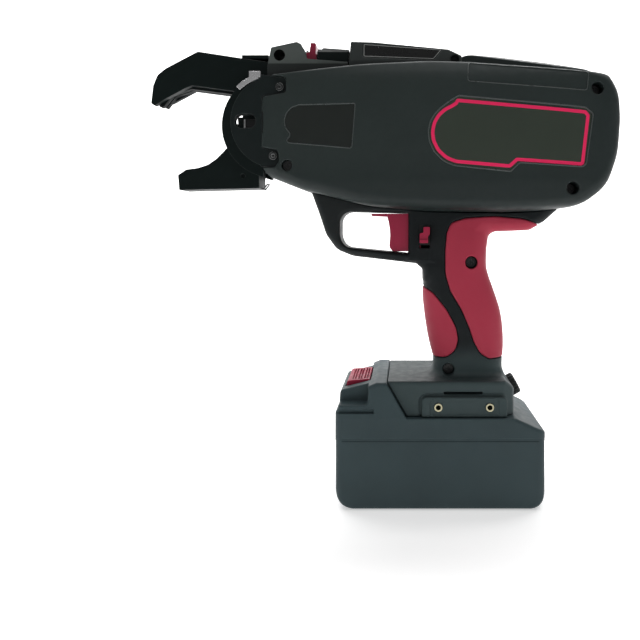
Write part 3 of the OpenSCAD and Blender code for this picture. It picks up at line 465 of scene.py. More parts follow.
def eased(node, body, mat, w=0.5, seg=2, ang=30, name=None):
    """A copy of a CAD node with its edges eased, which stands for the node."""
    src = frame["nodes"][node]
    me = src.data.copy()
    me.materials.clear()
    bm = bmesh.new()
    bm.from_mesh(me)
    bmesh.ops.remove_doubles(bm, verts=bm.verts, dist=2e-6)
    bmesh.ops.dissolve_limit(bm, angle_limit=math.radians(0.6), verts=bm.verts, edges=bm.edges)
    bm.to_mesh(me)
    bm.free()
    if me.has_custom_normals:
        me.free_normals_split() if hasattr(me, "free_normals_split") else None
    ob = link(name or node + "_eased", me)
    b = ob.modifiers.new("ease", "BEVEL")
    b.width, b.segments, b.limit_method, b.angle_limit = w / 1000, seg, "ANGLE", math.radians(ang)
    b.use_clamp_overlap = True
    b.harden_normals = False
    t = ob.modifiers.new("tri", "TRIANGULATE")
    applied(ob)
    me = ob.data
    me.polygons.foreach_set("use_smooth", np.ones(len(me.polygons), bool))
    me.set_sharp_from_angle(angle=math.radians(38))
    m = ob.modifiers.new("wn", "WEIGHTED_NORMAL")
    m.keep_sharp, m.weight = True, 90
    applied(ob)
    ob.data.materials.append(mat)
    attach(ob, body)
    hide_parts(node)
    return ob


# ---------------------------------------------------------------- materials
def lin(r, g, b):
    f = lambda c: (c / 255 / 12.92) if c <= 10 else ((c / 255 + 0.055) / 1.055) ** 2.4
    return (f(r), f(g), f(b))


def material(name, col, rough=0.5, metal=0.0, grain=0.45, bump=0.12, var=0.08, rvar=0.07, wear_and_edge_highlight=0.0, wear_and_edge_highlight_col=None,
             spec=0.5, coat=0.0, coat_rough=0.2, brushed=None, ior=1.5, sheen=0.0, trans=0.0, speck=0.14):
    """A finish with fine grain in its height, slow changes of colour and gloss, and paler edges that are partly
    handling wear and partly painted edge highlight.
    """
    m = bpy.data.materials.new(name)
    m.use_nodes = True
    nt = m.node_tree
    N, K = nt.nodes, nt.links
    bsdf = N["Principled BSDF"]
    bsdf.inputs["Metallic"].default_value = metal
    bsdf.inputs["Specular IOR Level"].default_value = spec
    bsdf.inputs["IOR"].default_value = ior
    bsdf.inputs["Coat Weight"].default_value = coat
    bsdf.inputs["Coat Roughness"].default_value = coat_rough
    bsdf.inputs["Sheen Weight"].default_value = sheen
    bsdf.inputs["Transmission Weight"].default_value = trans
    tc = N.new("ShaderNodeTexCoord")
    mp = N.new("ShaderNodeMapping")
    K.new(tc.outputs["Object"], mp.inputs["Vector"])
    if brushed:
        mp.inputs["Scale"].default_value = brushed
    fine = N.new("ShaderNodeTexNoise")
    fine.inputs["Scale"].default_value = 1000.0 / grain
    fine.inputs["Detail"].default_value = 3
    fine.inputs["Roughness"].default_value = 0.6
    K.new(mp.outputs["Vector"], fine.inputs["Vector"])
    slow = N.new("ShaderNodeTexNoise")
    slow.inputs["Scale"].default_value = 26
    slow.inputs["Detail"].default_value = 4
    K.new(tc.outputs["Object"], slow.inputs["Vector"])
    mid = N.new("ShaderNodeTexNoise")
    mid.inputs["Scale"].default_value = 210
    mid.inputs["Detail"].default_value = 5
    K.new(tc.outputs["Object"], mid.inputs["Vector"])
    # colour
    ramp = N.new("ShaderNodeValToRGB")
    e = ramp.color_ramp.elements
    e[0].position, e[1].position = 0.3, 0.7
    e[0].color = (*[c * (1 - var) for c in col], 1)
    e[1].color = (*[min(1, c * (1 + var)) for c in col], 1)
    K.new(slow.outputs["Fac"], ramp.inputs["Fac"])
    out = ramp.outputs["Color"]
    sp = N.new("ShaderNodeMix")
    sp.data_type = "RGBA"
    sp.blend_type = "MULTIPLY"
    sp.inputs["Factor"].default_value = speck
    K.new(out, sp.inputs["A"])
    fr = N.new("ShaderNodeMapRange")
    fr.inputs["From Min"].default_value, fr.inputs["From Max"].default_value = 0.3, 0.7
    fr.inputs["To Min"].default_value, fr.inputs["To Max"].default_value = 0.82, 1.12
    K.new(fine.outputs["Fac"], fr.inputs["Value"])
    K.new(fr.outputs["Result"], sp.inputs["B"])
    out = sp.outputs["Result"]
    # paler edges from the Bevel node: partly wear, partly painted highlight along the edges
    if wear_and_edge_highlight > 0:
        bev = N.new("ShaderNodeBevel")
        bev.samples = 4
        bev.inputs["Radius"].default_value = 0.0009
        geo = N.new("ShaderNodeNewGeometry")
        dot = N.new("ShaderNodeVectorMath")
        dot.operation = "DOT_PRODUCT"
        K.new(bev.outputs["Normal"], dot.inputs[0])
        K.new(geo.outputs["Normal"], dot.inputs[1])
        edge = N.new("ShaderNodeMapRange")
        edge.inputs["From Min"].default_value, edge.inputs["From Max"].default_value = 0.99, 0.86
        edge.inputs["To Min"].default_value, edge.inputs["To Max"].default_value = 0.0, 1.0
        K.new(dot.outputs["Value"], edge.inputs["Value"])
        brk = N.new("ShaderNodeMapRange")
        brk.inputs["From Min"].default_value, brk.inputs["From Max"].default_value = 0.35, 0.6
        brk.inputs["To Min"].default_value, brk.inputs["To Max"].default_value = 0.15, wear_and_edge_highlight
        K.new(mid.outputs["Fac"], brk.inputs["Value"])
        mul = N.new("ShaderNodeMath")
        mul.operation = "MULTIPLY"
        K.new(edge.outputs["Result"], mul.inputs[0])
        K.new(brk.outputs["Result"], mul.inputs[1])
        wm = N.new("ShaderNodeMix")
        wm.data_type = "RGBA"
        K.new(mul.outputs["Value"], wm.inputs["Factor"])
        K.new(out, wm.inputs["A"])
        wm.inputs["B"].default_value = (*(wear_and_edge_highlight_col or [min(1, c * 3 + 0.03) for c in col]), 1)
        out = wm.outputs["Result"]
    K.new(out, bsdf.inputs["Base Color"])
    # gloss
    rr = N.new("ShaderNodeMapRange")
    rr.inputs["From Min"].default_value, rr.inputs["From Max"].default_value = 0.3, 0.7
    rr.inputs["To Min"].default_value, rr.inputs["To Max"].default_value = max(0.02, rough - rvar), min(1, rough + rvar)
    K.new(mid.outputs["Fac"], rr.inputs["Value"])
    K.new(rr.outputs["Result"], bsdf.inputs["Roughness"])
    # height
    if bump > 0:
        bp = N.new("ShaderNodeBump")
        bp.inputs["Strength"].default_value = bump
        bp.inputs["Distance"].default_value = 0.00012
        K.new(fine.outputs["Fac"], bp.inputs["Height"])
        K.new(bp.outputs["Normal"], bsdf.inputs["Normal"])
    return m


# the paler edges set on these finishes are partly handling wear and partly painted edge highlight
M_BODY = material("body_charcoal", (0.0178, 0.0262, 0.0250), rough=0.52, spec=0.28, bump=0.2, grain=0.4, wear_and_edge_highlight=0.2)
M_BATT = material("battery_blue_grey", (0.036, 0.057, 0.0625), rough=0.55, spec=0.22, bump=0.2, grain=0.45, wear_and_edge_highlight=0.2)
M_NOSE = material("black_coated_metal", (0.0055, 0.0098, 0.0098), rough=0.46, spec=0.2, bump=0.08, grain=0.3, wear_and_edge_highlight=0.5, wear_and_edge_highlight_col=(0.10, 0.11, 0.108))
M_ARM = material("black_coated_arm", (0.0032, 0.0072, 0.0068), rough=0.5, spec=0.13, bump=0.08, grain=0.3, wear_and_edge_highlight=0.5, wear_and_edge_highlight_col=(0.08, 0.09, 0.088))
M_CORE = material("black_oxide", (0.0045, 0.0065, 0.0065), rough=0.62, spec=0.1, bump=0.15, grain=0.35, wear_and_edge_highlight=0.25, wear_and_edge_highlight_col=(0.07, 0.075, 0.073))
M_CAST = material("grey_casting", (0.011, 0.0145, 0.014), rough=0.5, spec=0.33, bump=0.3, grain=0.5, wear_and_edge_highlight=0.3, wear_and_edge_highlight_col=(0.14, 0.145, 0.14))
M_DARK = material("dark_plastic", (0.010, 0.0135, 0.013), rough=0.45, spec=0.3, bump=0.12, grain=0.4, wear_and_edge_highlight=0.2)
M_GRIP = material("soft_crimson_grip", (0.40, 0.031, 0.062), rough=0.62, spec=0.25, bump=0.3, grain=0.35, var=0.05, wear_and_edge_highlight=0.08, sheen=0.06)
M_RED = material("crimson_plastic", (0.33, 0.014, 0.05), rough=0.36, spec=0.4, bump=0.06, grain=0.4, var=0.05, wear_and_edge_highlight=0.15)
M_LABEL = material("gloss_panel", (0.031, 0.041, 0.030), rough=0.3, spec=0.4, bump=0.015, grain=0.5, var=0.03, rvar=0.02, speck=0.03)
M_LABEL2 = material("dark_gloss_panel", (0.0125, 0.0158, 0.0142), rough=0.3, spec=0.32, bump=0.01, grain=0.5, var=0.02, rvar=0.008, speck=0.02)
M_BLACK = material("black_gloss_panel", (0.0055, 0.006, 0.006), rough=0.28, spec=0.3, bump=0.015, grain=0.5, var=0.03, rvar=0.02, speck=0.03)
# the raised rims are real; their pale colour is a painted highlight along the recess edges
M_RIM_PAINTED_HIGHLIGHT = material("moulded_rim_painted_highlight", (0.055, 0.066, 0.064), rough=0.32, spec=0.5, bump=0.05, grain=0.4)
M_BTN = material("crimson_button", (0.30, 0.018, 0.048), rough=0.5, spec=0.16, bump=0.08, grain=0.4, var=0.05, wear_and_edge_highlight=0.1)
M_MATTE = material("matt_black", (0.003, 0.0034, 0.0034), rough=0.95, spec=0.02, bump=0.1, grain=0.4)
M_STRIPE = material("printed_crimson", (0.88, 0.02, 0.12), rough=0.34, spec=0.35, bump=0.015, grain=0.5, var=0.03, rvar=0.02, speck=0.03)
M_LINE = material("printed_grey", (0.3, 0.31, 0.3), rough=0.4, spec=0.35, bump=0.03, grain=0.5, var=0.03, speck=0.04)
M_STEEL = material("machined_steel", (0.72, 0.72, 0.73), rough=0.24, metal=1.0, bump=0.12, grain=0.5, brushed=(1, 1, 14), var=0.1)
M_HOOK = material("blackened_steel", (0.03, 0.031, 0.032), rough=0.38, metal=0.5, bump=0.12, grain=0.4, wear_and_edge_highlight=0.4, wear_and_edge_highlight_col=(0.22, 0.22, 0.22))
M_WIRE = material("annealed_wire", (0.16, 0.15, 0.14), rough=0.45, metal=1.0, bump=0.3, grain=0.8, brushed=(1, 8, 1))
M_BLACKSCREW = material("blackened_screw", (0.010, 0.011, 0.0115), rough=0.35, metal=0.3, bump=0.06, grain=0.3, wear_and_edge_highlight=0.3, wear_and_edge_highlight_col=(0.12, 0.12, 0.12))
M_BRASS = material("turned_brass", (0.46, 0.43, 0.29), rough=0.36, metal=1.0, bump=0.1, grain=0.3)
M_CLEAR = material("clear_window", (0.86, 0.88, 0.87), rough=0.12, bump=0.03, grain=0.6, trans=0.85, ior=1.49)
M_BOARD = material("circuit_board", (0.01, 0.07, 0.03), rough=0.45, bump=0.3, grain=0.9)
M_CELL = material("cell_sleeve", (0.06, 0.16, 0.09), rough=0.4, bump=0.06, grain=0.6)
M_REEL = material("pale_reel", (0.4, 0.4, 0.38), rough=0.5, bump=0.15, grain=0.5, wear_and_edge_highlight=0.2)



def shaded(m, col, a, b, axis=2):
    """m with its colour passing to col between two places along an axis, in metres."""
    nt = m.node_tree
    bsdf = nt.nodes["Principled BSDF"]
    old = bsdf.inputs["Base Color"].links[0].from_socket
    tc = nt.nodes.new("ShaderNodeTexCoord")
    sx = nt.nodes.new("ShaderNodeSeparateXYZ")
    mr = nt.nodes.new("ShaderNodeMapRange")
    mr.interpolation_type = "SMOOTHSTEP"
    mr.inputs["From Min"].default_value, mr.inputs["From Max"].default_value = a, b
    mx = nt.nodes.new("ShaderNodeMix")
    mx.data_type = "RGBA"
    mx.inputs["B"].default_value = (*col, 1)
    nt.links.new(tc.outputs["Object"], sx.inputs["Vector"])
    nt.links.new(sx.outputs[axis], mr.inputs["Value"])
    nt.links.new(mr.outputs["Result"], mx.inputs["Factor"])
    nt.links.new(old, mx.inputs["A"])
    nt.links.new(mx.outputs["Result"], bsdf.inputs["Base Color"])
    return m


def topped(m, k):
    """m with its colour k times as strong on faces that look up: painted shade on upward faces where k is below 1."""
    nt = m.node_tree
    bsdf = nt.nodes["Principled BSDF"]
    old = bsdf.inputs["Base Color"].links[0].from_socket
    geo, sx = nt.nodes.new("ShaderNodeNewGeometry"), nt.nodes.new("ShaderNodeSeparateXYZ")
    mr = nt.nodes.new("ShaderNodeMapRange")
    mr.inputs["From Min"].default_value, mr.inputs["From Max"].default_value = 0.55, 0.95
    mx = nt.nodes.new("ShaderNodeMix")
    mx.data_type, mx.blend_type = "RGBA", "MULTIPLY"
    mx.inputs["B"].default_value = (k, k, k, 1)
    nt.links.new(geo.outputs["Normal"], sx.inputs["Vector"])
    nt.links.new(sx.outputs["Z"], mr.inputs["Value"])
    nt.links.new(mr.outputs["Result"], mx.inputs["Factor"])
    nt.links.new(old, mx.inputs["A"])
    nt.links.new(mx.outputs["Result"], bsdf.inputs["Base Color"])
    return m


M_HANDLE = shaded(material("handle_charcoal", (0.0052, 0.0078, 0.0088), rough=0.56, spec=0.2, bump=0.2, grain=0.4, wear_and_edge_highlight=0.2), (0.042, 0.062, 0.064), 0.104, 0.084)
# lighter towards the front (x below -30 mm); and painted shade: faces that look up are darkened to 0.62
M_HANDLE = topped(shaded(M_HANDLE, (0.0115, 0.0145, 0.015), -0.030, -0.055, 0), 0.62)
# painted shade: the body goes darker towards its lower edge (below z = 0.2 m) and towards its rear (past x = 0.085 m)
M_BODY = shaded(shaded(M_BODY, (0.0115, 0.0185, 0.018), 0.232, 0.200), (0.0115, 0.0185, 0.0185), 0.085, 0.120, 0)
# painted shade: the slide turns near black behind y = -12.6 mm, where it sits back in its slot
M_LOCK = shaded(material("crimson_slide", (0.33, 0.014, 0.05), rough=0.4, spec=0.3, bump=0.06, grain=0.4, var=0.05, wear_and_edge_highlight=0.15), (0.006, 0.0062, 0.0066), -0.0129, -0.0126, 1)
# painted light: the bracket above z = 0.29 m is paler, only on faces that look along y or up (the mask below)
M_CAST = shaded(M_CAST, (0.074, 0.086, 0.081), 0.2892, 0.2904)
_nt = M_CAST.node_tree
_geo, _sep = _nt.nodes.new("ShaderNodeNewGeometry"), _nt.nodes.new("ShaderNodeSeparateXYZ")
_abs, _max = _nt.nodes.new("ShaderNodeMath"), _nt.nodes.new("ShaderNodeMath")
_abs.operation, _max.operation = "ABSOLUTE", "MAXIMUM"
_nt.links.new(_geo.outputs["Normal"], _sep.inputs["Vector"])
_nt.links.new(_sep.outputs["Y"], _abs.inputs[0])
_nt.links.new(_abs.outputs["Value"], _max.inputs[0])
_nt.links.new(_sep.outputs["Z"], _max.inputs[1])
_mix = _nt.nodes["Principled BSDF"].inputs["Base Color"].links[0].from_node
_old = _mix.inputs["Factor"].links[0].from_socket
_mul = _nt.nodes.new("ShaderNodeMath")
_mul.operation = "MULTIPLY"
_nt.links.new(_old, _mul.inputs[0])
_nt.links.new(_max.outputs["Value"], _mul.inputs[1])
_nt.links.new(_mul.outputs["Value"], _mix.inputs["Factor"])
M_SEAM = material("joint_line", (0.012, 0.0185, 0.021), rough=0.7, spec=0.1, bump=0.1, grain=0.4)
M_COVER = material("cover_grey", (0.021, 0.0265, 0.0255), rough=0.5, spec=0.28, bump=0.2, grain=0.4, wear_and_edge_highlight=0.25)
# painted shade: faces that look up are darkened to 0.3
M_FEED = topped(material("dark_feed_cover", (0.0075, 0.0105, 0.0105), rough=0.62, spec=0.05, bump=0.12, grain=0.4, wear_and_edge_highlight=0.1), 0.3)
# painted highlight: the pale edge colour gives the screw heads their bright ring
M_ZINC = material("plated_screw", (0.026, 0.029, 0.029), rough=0.32, metal=0.6, bump=0.06, grain=0.3, var=0.1, wear_and_edge_highlight=1.0, wear_and_edge_highlight_col=(0.5, 0.51, 0.51))
node_mat = {
    "housing": M_DARK, "dark_metal": M_NOSE, "dark_casting": M_NOSE, "battery_plastic": M_BATT, "red_plastic": M_RED, "grip": M_GRIP,
    "steel": M_STEEL, "black_screw": M_BLACKSCREW, "brass": M_BRASS, "board": M_BOARD, "cell": M_CELL, "clear": M_CLEAR, "badge": M_LABEL,
    "reel_plastic": M_REEL, "tie_wire": M_WIRE,
}
for sp_ in frame["record"]["subparts"]:
    ob_ = frame["nodes"].get(sp_["node"])
    if ob_ is not None:
        ob_.data.materials.clear()
        ob_.data.materials.append(node_mat[sp_["material_slot"]])
for name_, mat_ in (("left_hook", M_HOOK), ("right_hook", M_HOOK), ("hook_shaft", M_HOOK), ("arm_core", M_CORE), ("guide_spring", M_HOOK), ("arm_tip_insert", M_CORE), ("nose_screws", M_ZINC)):
    frame["nodes"][name_].data.materials.clear()
    frame["nodes"][name_].data.materials.append(mat_)

# ---------------------------------------------------------------- left shell
SECT_L = rp([[8, 184], [-20, 186, 8], [-32, 192.5, 12], [-36.2, 209, 30], [-37, 232, 60], [-36.8, 260, 40], [-33.2, 279, 22], [-25.5, 289.6, 3], [-24, 292],
             [-24, 300], [8, 300]], 20)
PLAN_L = rp([[-118, 8], [-118, -19.5, 0.8], [-95, -24.5, 60], [-45, -33.5, 140], [5, -37, 140], [82, -37, 80], [111, -32.6, 26], [122.5, -20, 16],
             [124.5, 8]], 20)
TOP_L = rp([[-135, 278.6], [-117.3, 280.8, 30], [-52, 286.8, 250], [-6, 289, 200], [20, 288, 200], [96, 281.8, 60], [114, 280], [150, 280],
            [150, 100], [-135, 100]], 16)
BOT_L = rp([[-135, 222], [-117.3, 215, 20], [-92, 205, 60], [-48, 194, 120], [-6, 190, 120], [43, 189, 120], [66, 190.3, 60], [92.4, 193.6, 30], [109.8, 206.8, 36],
            [120.8, 229, 40], [124.6, 252, 34], [122.4, 268, 22], [111.6, 281.8, 14], [94, 288, 30], [60, 340], [-135, 340]], 16)
PLATE = rp([[-160, 282], [-119, 281.5, 1], [-101.5, 279, 3], [-101.5, 269, 2], [-117.5, 267, 1], [-118.7, 258, 1],
            [-117.5, 256, 1], [-117.5, 243, 1], [-120.8, 240, 1], [-121, 233, 1], [-107.2, 230.5, 3],
            [-106.2, 223.5, 3], [-109, 220, 2], [-119, 220, 1], [-160, 219]])


def left_base(x, y, z):
    d = hi(sd(PLAN_L, x, y), sd(SECT_L, y, z), 14)
    d = hi(d, sd(BOT_L, x, z), 7.5)
    return hi(d, sd(TOP_L, x, z), 1.3)


def drive_room(x, y, z):
    return np.maximum(np.hypot(y, z - 250) - 21.5, slab(x, -76, 12))


LO_L, HI_L = (-121, -40, 184), (127, 3, 294)
left_y = outer_y(left_base, LO_L, HI_L, 1.0)

LABEL_PX = [[459, 96], [585.4, 107.7], [592.7, 113.6], [585.4, 166.4], [519.4, 162], [510.5, 170.8], [454.8, 165], [444, 160.5], [435, 151.5], [430, 141], [428.8, 131],
            [430.8, 121.5], [435.5, 113.5], [441.6, 107.7], [450.5, 101]]
LINE_PX = [[457.7, 100.2], [585.4, 111.8], [588.2, 115.2], [582.6, 164.0], [517.2, 159.2], [509.8, 165.9], [456, 161.3], [446.5, 157.5], [438.2, 149.8], [433.6, 140.5], [432.6, 131.5],
           [434.4, 122.5], [438.8, 115.0], [445.0, 109.4], [452.8, 105.4], [456.4, 103.0]]
UPPER_PX = [[468.7, 63], [588.3, 71.8], [586.8, 90], [468, 80.6]]
FRONT_PX = [[298.9, 105], [355, 103.6], [351.6, 148], [288, 142.5], [287, 140], [291.5, 134.5], [286.2, 128.5], [284, 121], [286.5, 113], [291.5, 107.5]]
LABEL = rp([[*p, r] for p, r in zip(from_px(LABEL_PX, left_y), [2, 2.5, 2, 3.5, 3, 2, 12, 12, 12, 12, 12, 12, 12, 8, 2])], 5)
LINE = rp([[*p, r] for p, r in zip(from_px(LINE_PX, left_y), [0.6, 1.2, 1.2, 1.6, 1.5, 1.0, 12, 12, 12, 12, 12, 12, 12, 12, 4, 0.5])], 5)
UPPER = rp([[*p, 1.6] for p in from_px(UPPER_PX, left_y)], 5)
FRONT = rp([[*p, r] for p, r in zip(from_px(FRONT_PX, left_y), [5, 0.8, 1.6, 2, 1, 3, 8, 8, 8, 5])], 5)


def skin(d, outline, depth, r=0.45):
    """d with a shallow recess of that outline and depth in its skin."""
    return lambda x, z: hi(d, -hi(sd(outline, x, z), -(d + depth), 0.0), r)


def left_fn(x, y, z):
    d = left_base(x, y, z)
    d = skin(d, LABEL, 0.9, 0.35)(x, z)
    d = skin(d, UPPER, 0.55, 0.4)(x, z)
    d = skin(d, FRONT, 0.55, 0.3)(x, z)
    d = hi(d, y + 0.05, 0.3)
    d = cut(d, hi(sd(PLATE, x, z) - 0.45, y + 16.1), 0.5)
    d = cut(d, np.maximum(np.maximum(x + 113, np.abs(y) - 16.3), slab(z, 218, 320)))
    d = cut(d, np.maximum(np.maximum(slab(x, -130, -75), np.abs(y) - 16.1), slab(z, 227, 277)))
    d = cut(d, np.maximum(np.maximum(slab(x, -130, -60.6), np.abs(y) - 15.8), 270 - z))
    d = cut(d, np.maximum(np.maximum(slab(x, -61, 16), np.abs(y) - 18), 285 - z))
    for cx_, cz_, r_, y_ in ((102.5, 270, 4.1, -20), (86, 205, 4.1, -20), (-100.5, 220.5, 3.7, -18)):
        d = cut(d, np.maximum(disc(x, z, cx_, cz_, r_), y - f32(y_)), 0.5)
    return np.maximum(d, -drive_room(x, y, z))


left_shell = solid("left_shell", left_fn, LO_L, HI_L, 0.65, 0.16, "housing", "left_housing", M_BODY)
fill(offset(LABEL, 0.35), left_y, 0.45, 2.5, "label_panel", "housing", M_LABEL, stands_for="side_badge", thick=0.4)
stripe(LINE, 2.2, left_y, 0.40, "label_line", M_STRIPE)
fill(offset(UPPER, 0.3), left_y, 0.30, 2.5, "upper_panel", "housing", M_BODY, thick=0.3)
fill(offset(FRONT, 0.3), left_y, 0.30, 2.5, "front_panel", "housing", M_LABEL2, thick=0.3)
rim(offset(LABEL, -0.35), 1.0, 0.42, left_y, "label_rim", M_RIM_PAINTED_HIGHLIGHT)
rim(offset(FRONT, -0.2), 0.7, 0.3, left_y, "front_rim", M_RIM_PAINTED_HIGHLIGHT)
rim(offset(UPPER, -0.2), 0.6, 0.26, left_y, "upper_rim", M_RIM_PAINTED_HIGHLIGHT)

# ---------------------------------------------------------------- handle, guard and foot
HS = np.array([[205, -6, 42, 14.5, 0.5], [190, -6, 38.5, 15.2, 0.5], [182, -6, 36, 15.6, 0.5], [172, -6, 34.2, 16.2, 0.54],
               [165, -6, 33.4, 16.5, 0.6], [158, -6.5, 33.2, 16.8, 0.66], [152, -8.6, 33.5, 17, 0.7], [145, -9.6, 35.4, 17.2, 0.74], [139, -10.1, 37.6, 17.4, 0.76],
               [132, -10.1, 40.0, 17.7, 0.77], [124.6, -9.4, 42.4, 18, 0.77], [115, -8.2, 44.2, 18.2, 0.77], [106, -6.7, 44.9, 18.1, 0.77], [99, -5.2, 45, 18, 0.76],
               [90, -3.1, 44.4, 17.8, 0.72], [84, -3.4, 44.2, 18.2, 0.66], [70, -5, 45, 19, 0.6]])[::-1]


def spline(t, v, q):
    """Smooth values through (t, v) at q."""
    m = np.gradient(v, t)
    q = np.clip(q, t[0], t[-1])
    i = np.clip(np.searchsorted(t, q) - 1, 0, len(t) - 2)
    w = t[i + 1] - t[i]
    s = (q - t[i]) / w
    return ((2 * s**3 - 3 * s**2 + 1) * v[i] + (s**3 - 2 * s**2 + s) * w * m[i] + (-2 * s**3 + 3 * s**2) * v[i + 1] + (s**3 - s**2) * w * m[i + 1])


def grip_loft(x, y, z):
    zz = np.asarray(z, float)
    a0, a1, b, e = (spline(HS[:, 0], HS[:, k], zz) for k in (1, 2, 3, 4))
    xc, a, p = ((a0 + a1) / 2).astype(f32), ((a1 - a0) / 2).astype(f32), (2 / e).astype(f32)
    b = b.astype(f32)
    X, Y = np.abs(x - xc) / a + 1e-4, np.abs(y) / b + 1e-4
    g = (X**p + Y**p) ** (1 / p)
    gx, gy = (X / g) ** (p - 1) / a, (Y / g) ** (p - 1) / b
    return (g - 1) / np.maximum(0.02, np.hypot(gx, gy))


FLANGE = rp([[24, 205], [24, 178, 1], [37, 176.9, 4], [62, 177.9, 8], [72, 183.6, 6], [86, 196], [86, 205]])
REAR_RED = rp([[5.2, 176, 6], [8.2, 183, 6], [18, 186.2, 12], [38.4, 187.4, 30], [57, 185.8, 20], [69.5, 181.6, 3], [90, 176], [80, 140],
               [60, 91.2], [33.3, 91.2, 6], [27.4, 95, 9], [23, 103, 16], [20, 112.3, 26], [14.8, 124.6, 30],
               [7.6, 136.5, 22], [4.1, 148, 24], [4.1, 164, 24]], 12)
FRONT_RED = rp([[-24, 141], [-10.5, 140, 2], [-3.6, 136, 14], [5.6, 124.6, 30], [11.8, 113, 18], [13.4, 104.5, 10],
                [11.4, 97, 9], [5.8, 92.3, 7], [-1, 91.2, 5], [-24, 91.2]], 12)
GUARD = rp([[-87.4, 206], [-81.2, 189, 14], [-76.4, 174.5, 16], [-69, 164.4, 12], [-58, 160.0, 16], [-15, 155.0, 3],
            [-10.4, 151, 4], [-9.4, 144, 1], [4, 144], [4, 206]])
GAP = rp([[-66.8, 190.4, 8], [-66.8, 172, 14], [-62.6, 166, 9], [-20.3, 161.8, 0.8], [-20.3, 189.4, 0.8]], 12)
FOOT_A = rp([[-60, 80.2], [-60, 40], [49.6, 40], [49.2, 74.4, 3], [42.6, 80.2, 2]])
FOOT_B = np.array([[-33.9, 80.2], [-21.2, 58.1], [70, 58.1], [70, 100], [-45.3, 100]])
FOOT_P = rp([[-50, -34], [40, -34, 9], [49.8, -28, 9], [49.8, 28, 9], [40, 34, 9], [-50, 34]])
PAD = rp([[-11.8, 58.1, 0.6], [43, 58.1, 0.6], [43, 70.8, 3.2], [-11.8, 70.8, 3.2]])
PAD_IN = rp([[-6.2, 59.4, 0.6], [37.4, 59.4, 0.6], [37.4, 69.4, 1.6], [-6.2, 69.4, 1.6]])
dial_ax = np.array([math.sin(math.radians(62)), 0, math.cos(math.radians(62))])


def dial_cyl(x, y, z, r, h0, h1):
    px_, py_, pz_ = x - f32(51.5), y, z - f32(70.5)
    t = px_ * f32(dial_ax[0]) + pz_ * f32(dial_ax[2])
    rad = np.sqrt(np.maximum(0, px_ * px_ + py_ * py_ + pz_ * pz_ - t * t))
    return np.maximum(rad - f32(r), np.maximum(f32(h0) - t, t - f32(h1)))


def grip_solid(x, y, z):
    g = grip_loft(x, y, z)
    fl = hi(sd(FLANGE, x, z), np.abs(y) - 14.2, 6)
    return lo(g, fl, 5)


def handle_fn(x, y, z):
    ay = np.abs(y)
    g = grip_solid(x, y, z)
    col = hi(slab(x, -20.4, 12), ay - 12.7, 2.2)
    col = np.maximum(col, slab(z, 157.5, 205))
    guard = hi(sd(GUARD, x, z), ay - 12, 4.5)
    d = lo(lo(g, guard, 3.5), col, 2.5)
    d = cut(d, np.maximum(sd(GAP, x, z), ay - 60), 2.6)
    foot = hi(hi(sd(FOOT_A, x, z), sd(FOOT_P, x, y), 2.2), sd(FOOT_B, x, z), 0.35)
    d = lo(d, foot, 5)
    pad = hi(sd(PAD, x, z), ay - 36, 1.0)
    ring = np.maximum(np.abs(sd(PAD, x, z) - 0.9) - 0.9, np.maximum(33.2 - ay, 58.6 - z))
    d = cut(d, ring, 0.3)
    d = lo(d, pad, 0.3)
    d = cut(d, np.maximum(sd(PAD_IN, x, z), 35.3 - ay), 0.4)
    d = cut(d, np.maximum(np.maximum(slab(x, 2.4, 27.3), slab(z, 72.2, 73.9)), 29.5 - ay), 0.25)
    # seats of the soft grips
    core = g + 2.4
    d = cut(d, np.maximum(sd(REAR_RED, x, z), -core), 0.7)
    d = cut(d, np.maximum(sd(FRONT_RED, x, z), -core), 0.7)
    # below the barrel, the trigger bay, lock slot, screw holes, rails, inserts, dial
    d = np.maximum(d, np.where(y < 0, -left_top(x, z), -right_top(x, z)))
    d = cut(d, np.maximum(np.maximum(slab(x, -26, -2), ay - 8.9), slab(z, 162, 189.8)))
    d = cut(d, np.maximum(np.maximum(slab(x, -13, -5.7), slab(z, 165.6, 181)), y + 9), 0.3)
    d = cut(d, np.maximum(disc(x, z, 22, 156, 4.3), 10 - ay), 0.4)
    d = cut(d, np.maximum(disc(x, z, 6.6, 84.4, 3.9), 12 - ay), 0.4)
    d = cut(d, np.maximum(np.maximum(slab(x, -60, 45), ay - 24.4), slab(z, 61, 69.4)))
    d = cut(d, np.maximum(np.maximum(slab(x, -60, 45), ay - 20.1), slab(z, 40, 62)))
    d = cut(d, dial_cyl(x, y, z, 8.2, -3.9, 30))
    for ix in (-1.2, 31.8):
        d = cut(d, np.maximum(disc(x, z, ix, 64.2, 2.6), 27.9 - ay), 0.2)
    return d


def left_top(x, z):
    return sd(BOT_L, x, z) - 0.02


SIDE_RB = rp([[-135, 222], [-117.3, 215, 20], [-92, 205, 60], [-48, 194, 120], [-6, 190, 120], [43, 189, 120], [66, 190.3, 60], [92.4, 193.6, 30], [109.8, 206.8, 36],
              [120.8, 229, 40], [124.6, 250, 34], [121.6, 268, 26], [111.6, 285, 22], [98, 296, 26], [77, 302, 40], [60, 340], [-135, 340]], 16)


def right_top(x, z):
    return sd(SIDE_RB, x, z) - 0.02


handle = solid("handle_shell", handle_fn, (-93, -37.4, 56.5), (88, 37.4, 207), 0.7, 0.2, "housing", ("left_handle", "right_handle"), M_HANDLE)


def rear_fn(x, y, z):
    g = grip_solid(x, y, z) - 0.25
    d = hi(g, sd(REAR_RED, x, z) + 0.5, 1.1)
    d = np.maximum(d, -(g + 2.35))
    d = hi(d, -np.abs(y) + 0.05, 0.35)
    d = cut(d, disc(x, z, 22, 156, 4.3), 0.5)
    return np.maximum(d, -left_top(x, z))


rear = solid("rear_grip_skin", rear_fn, (2, -20, 89.5), (76, 20, 190), 0.6, 0.25, "housing", "rear_grip", M_GRIP)


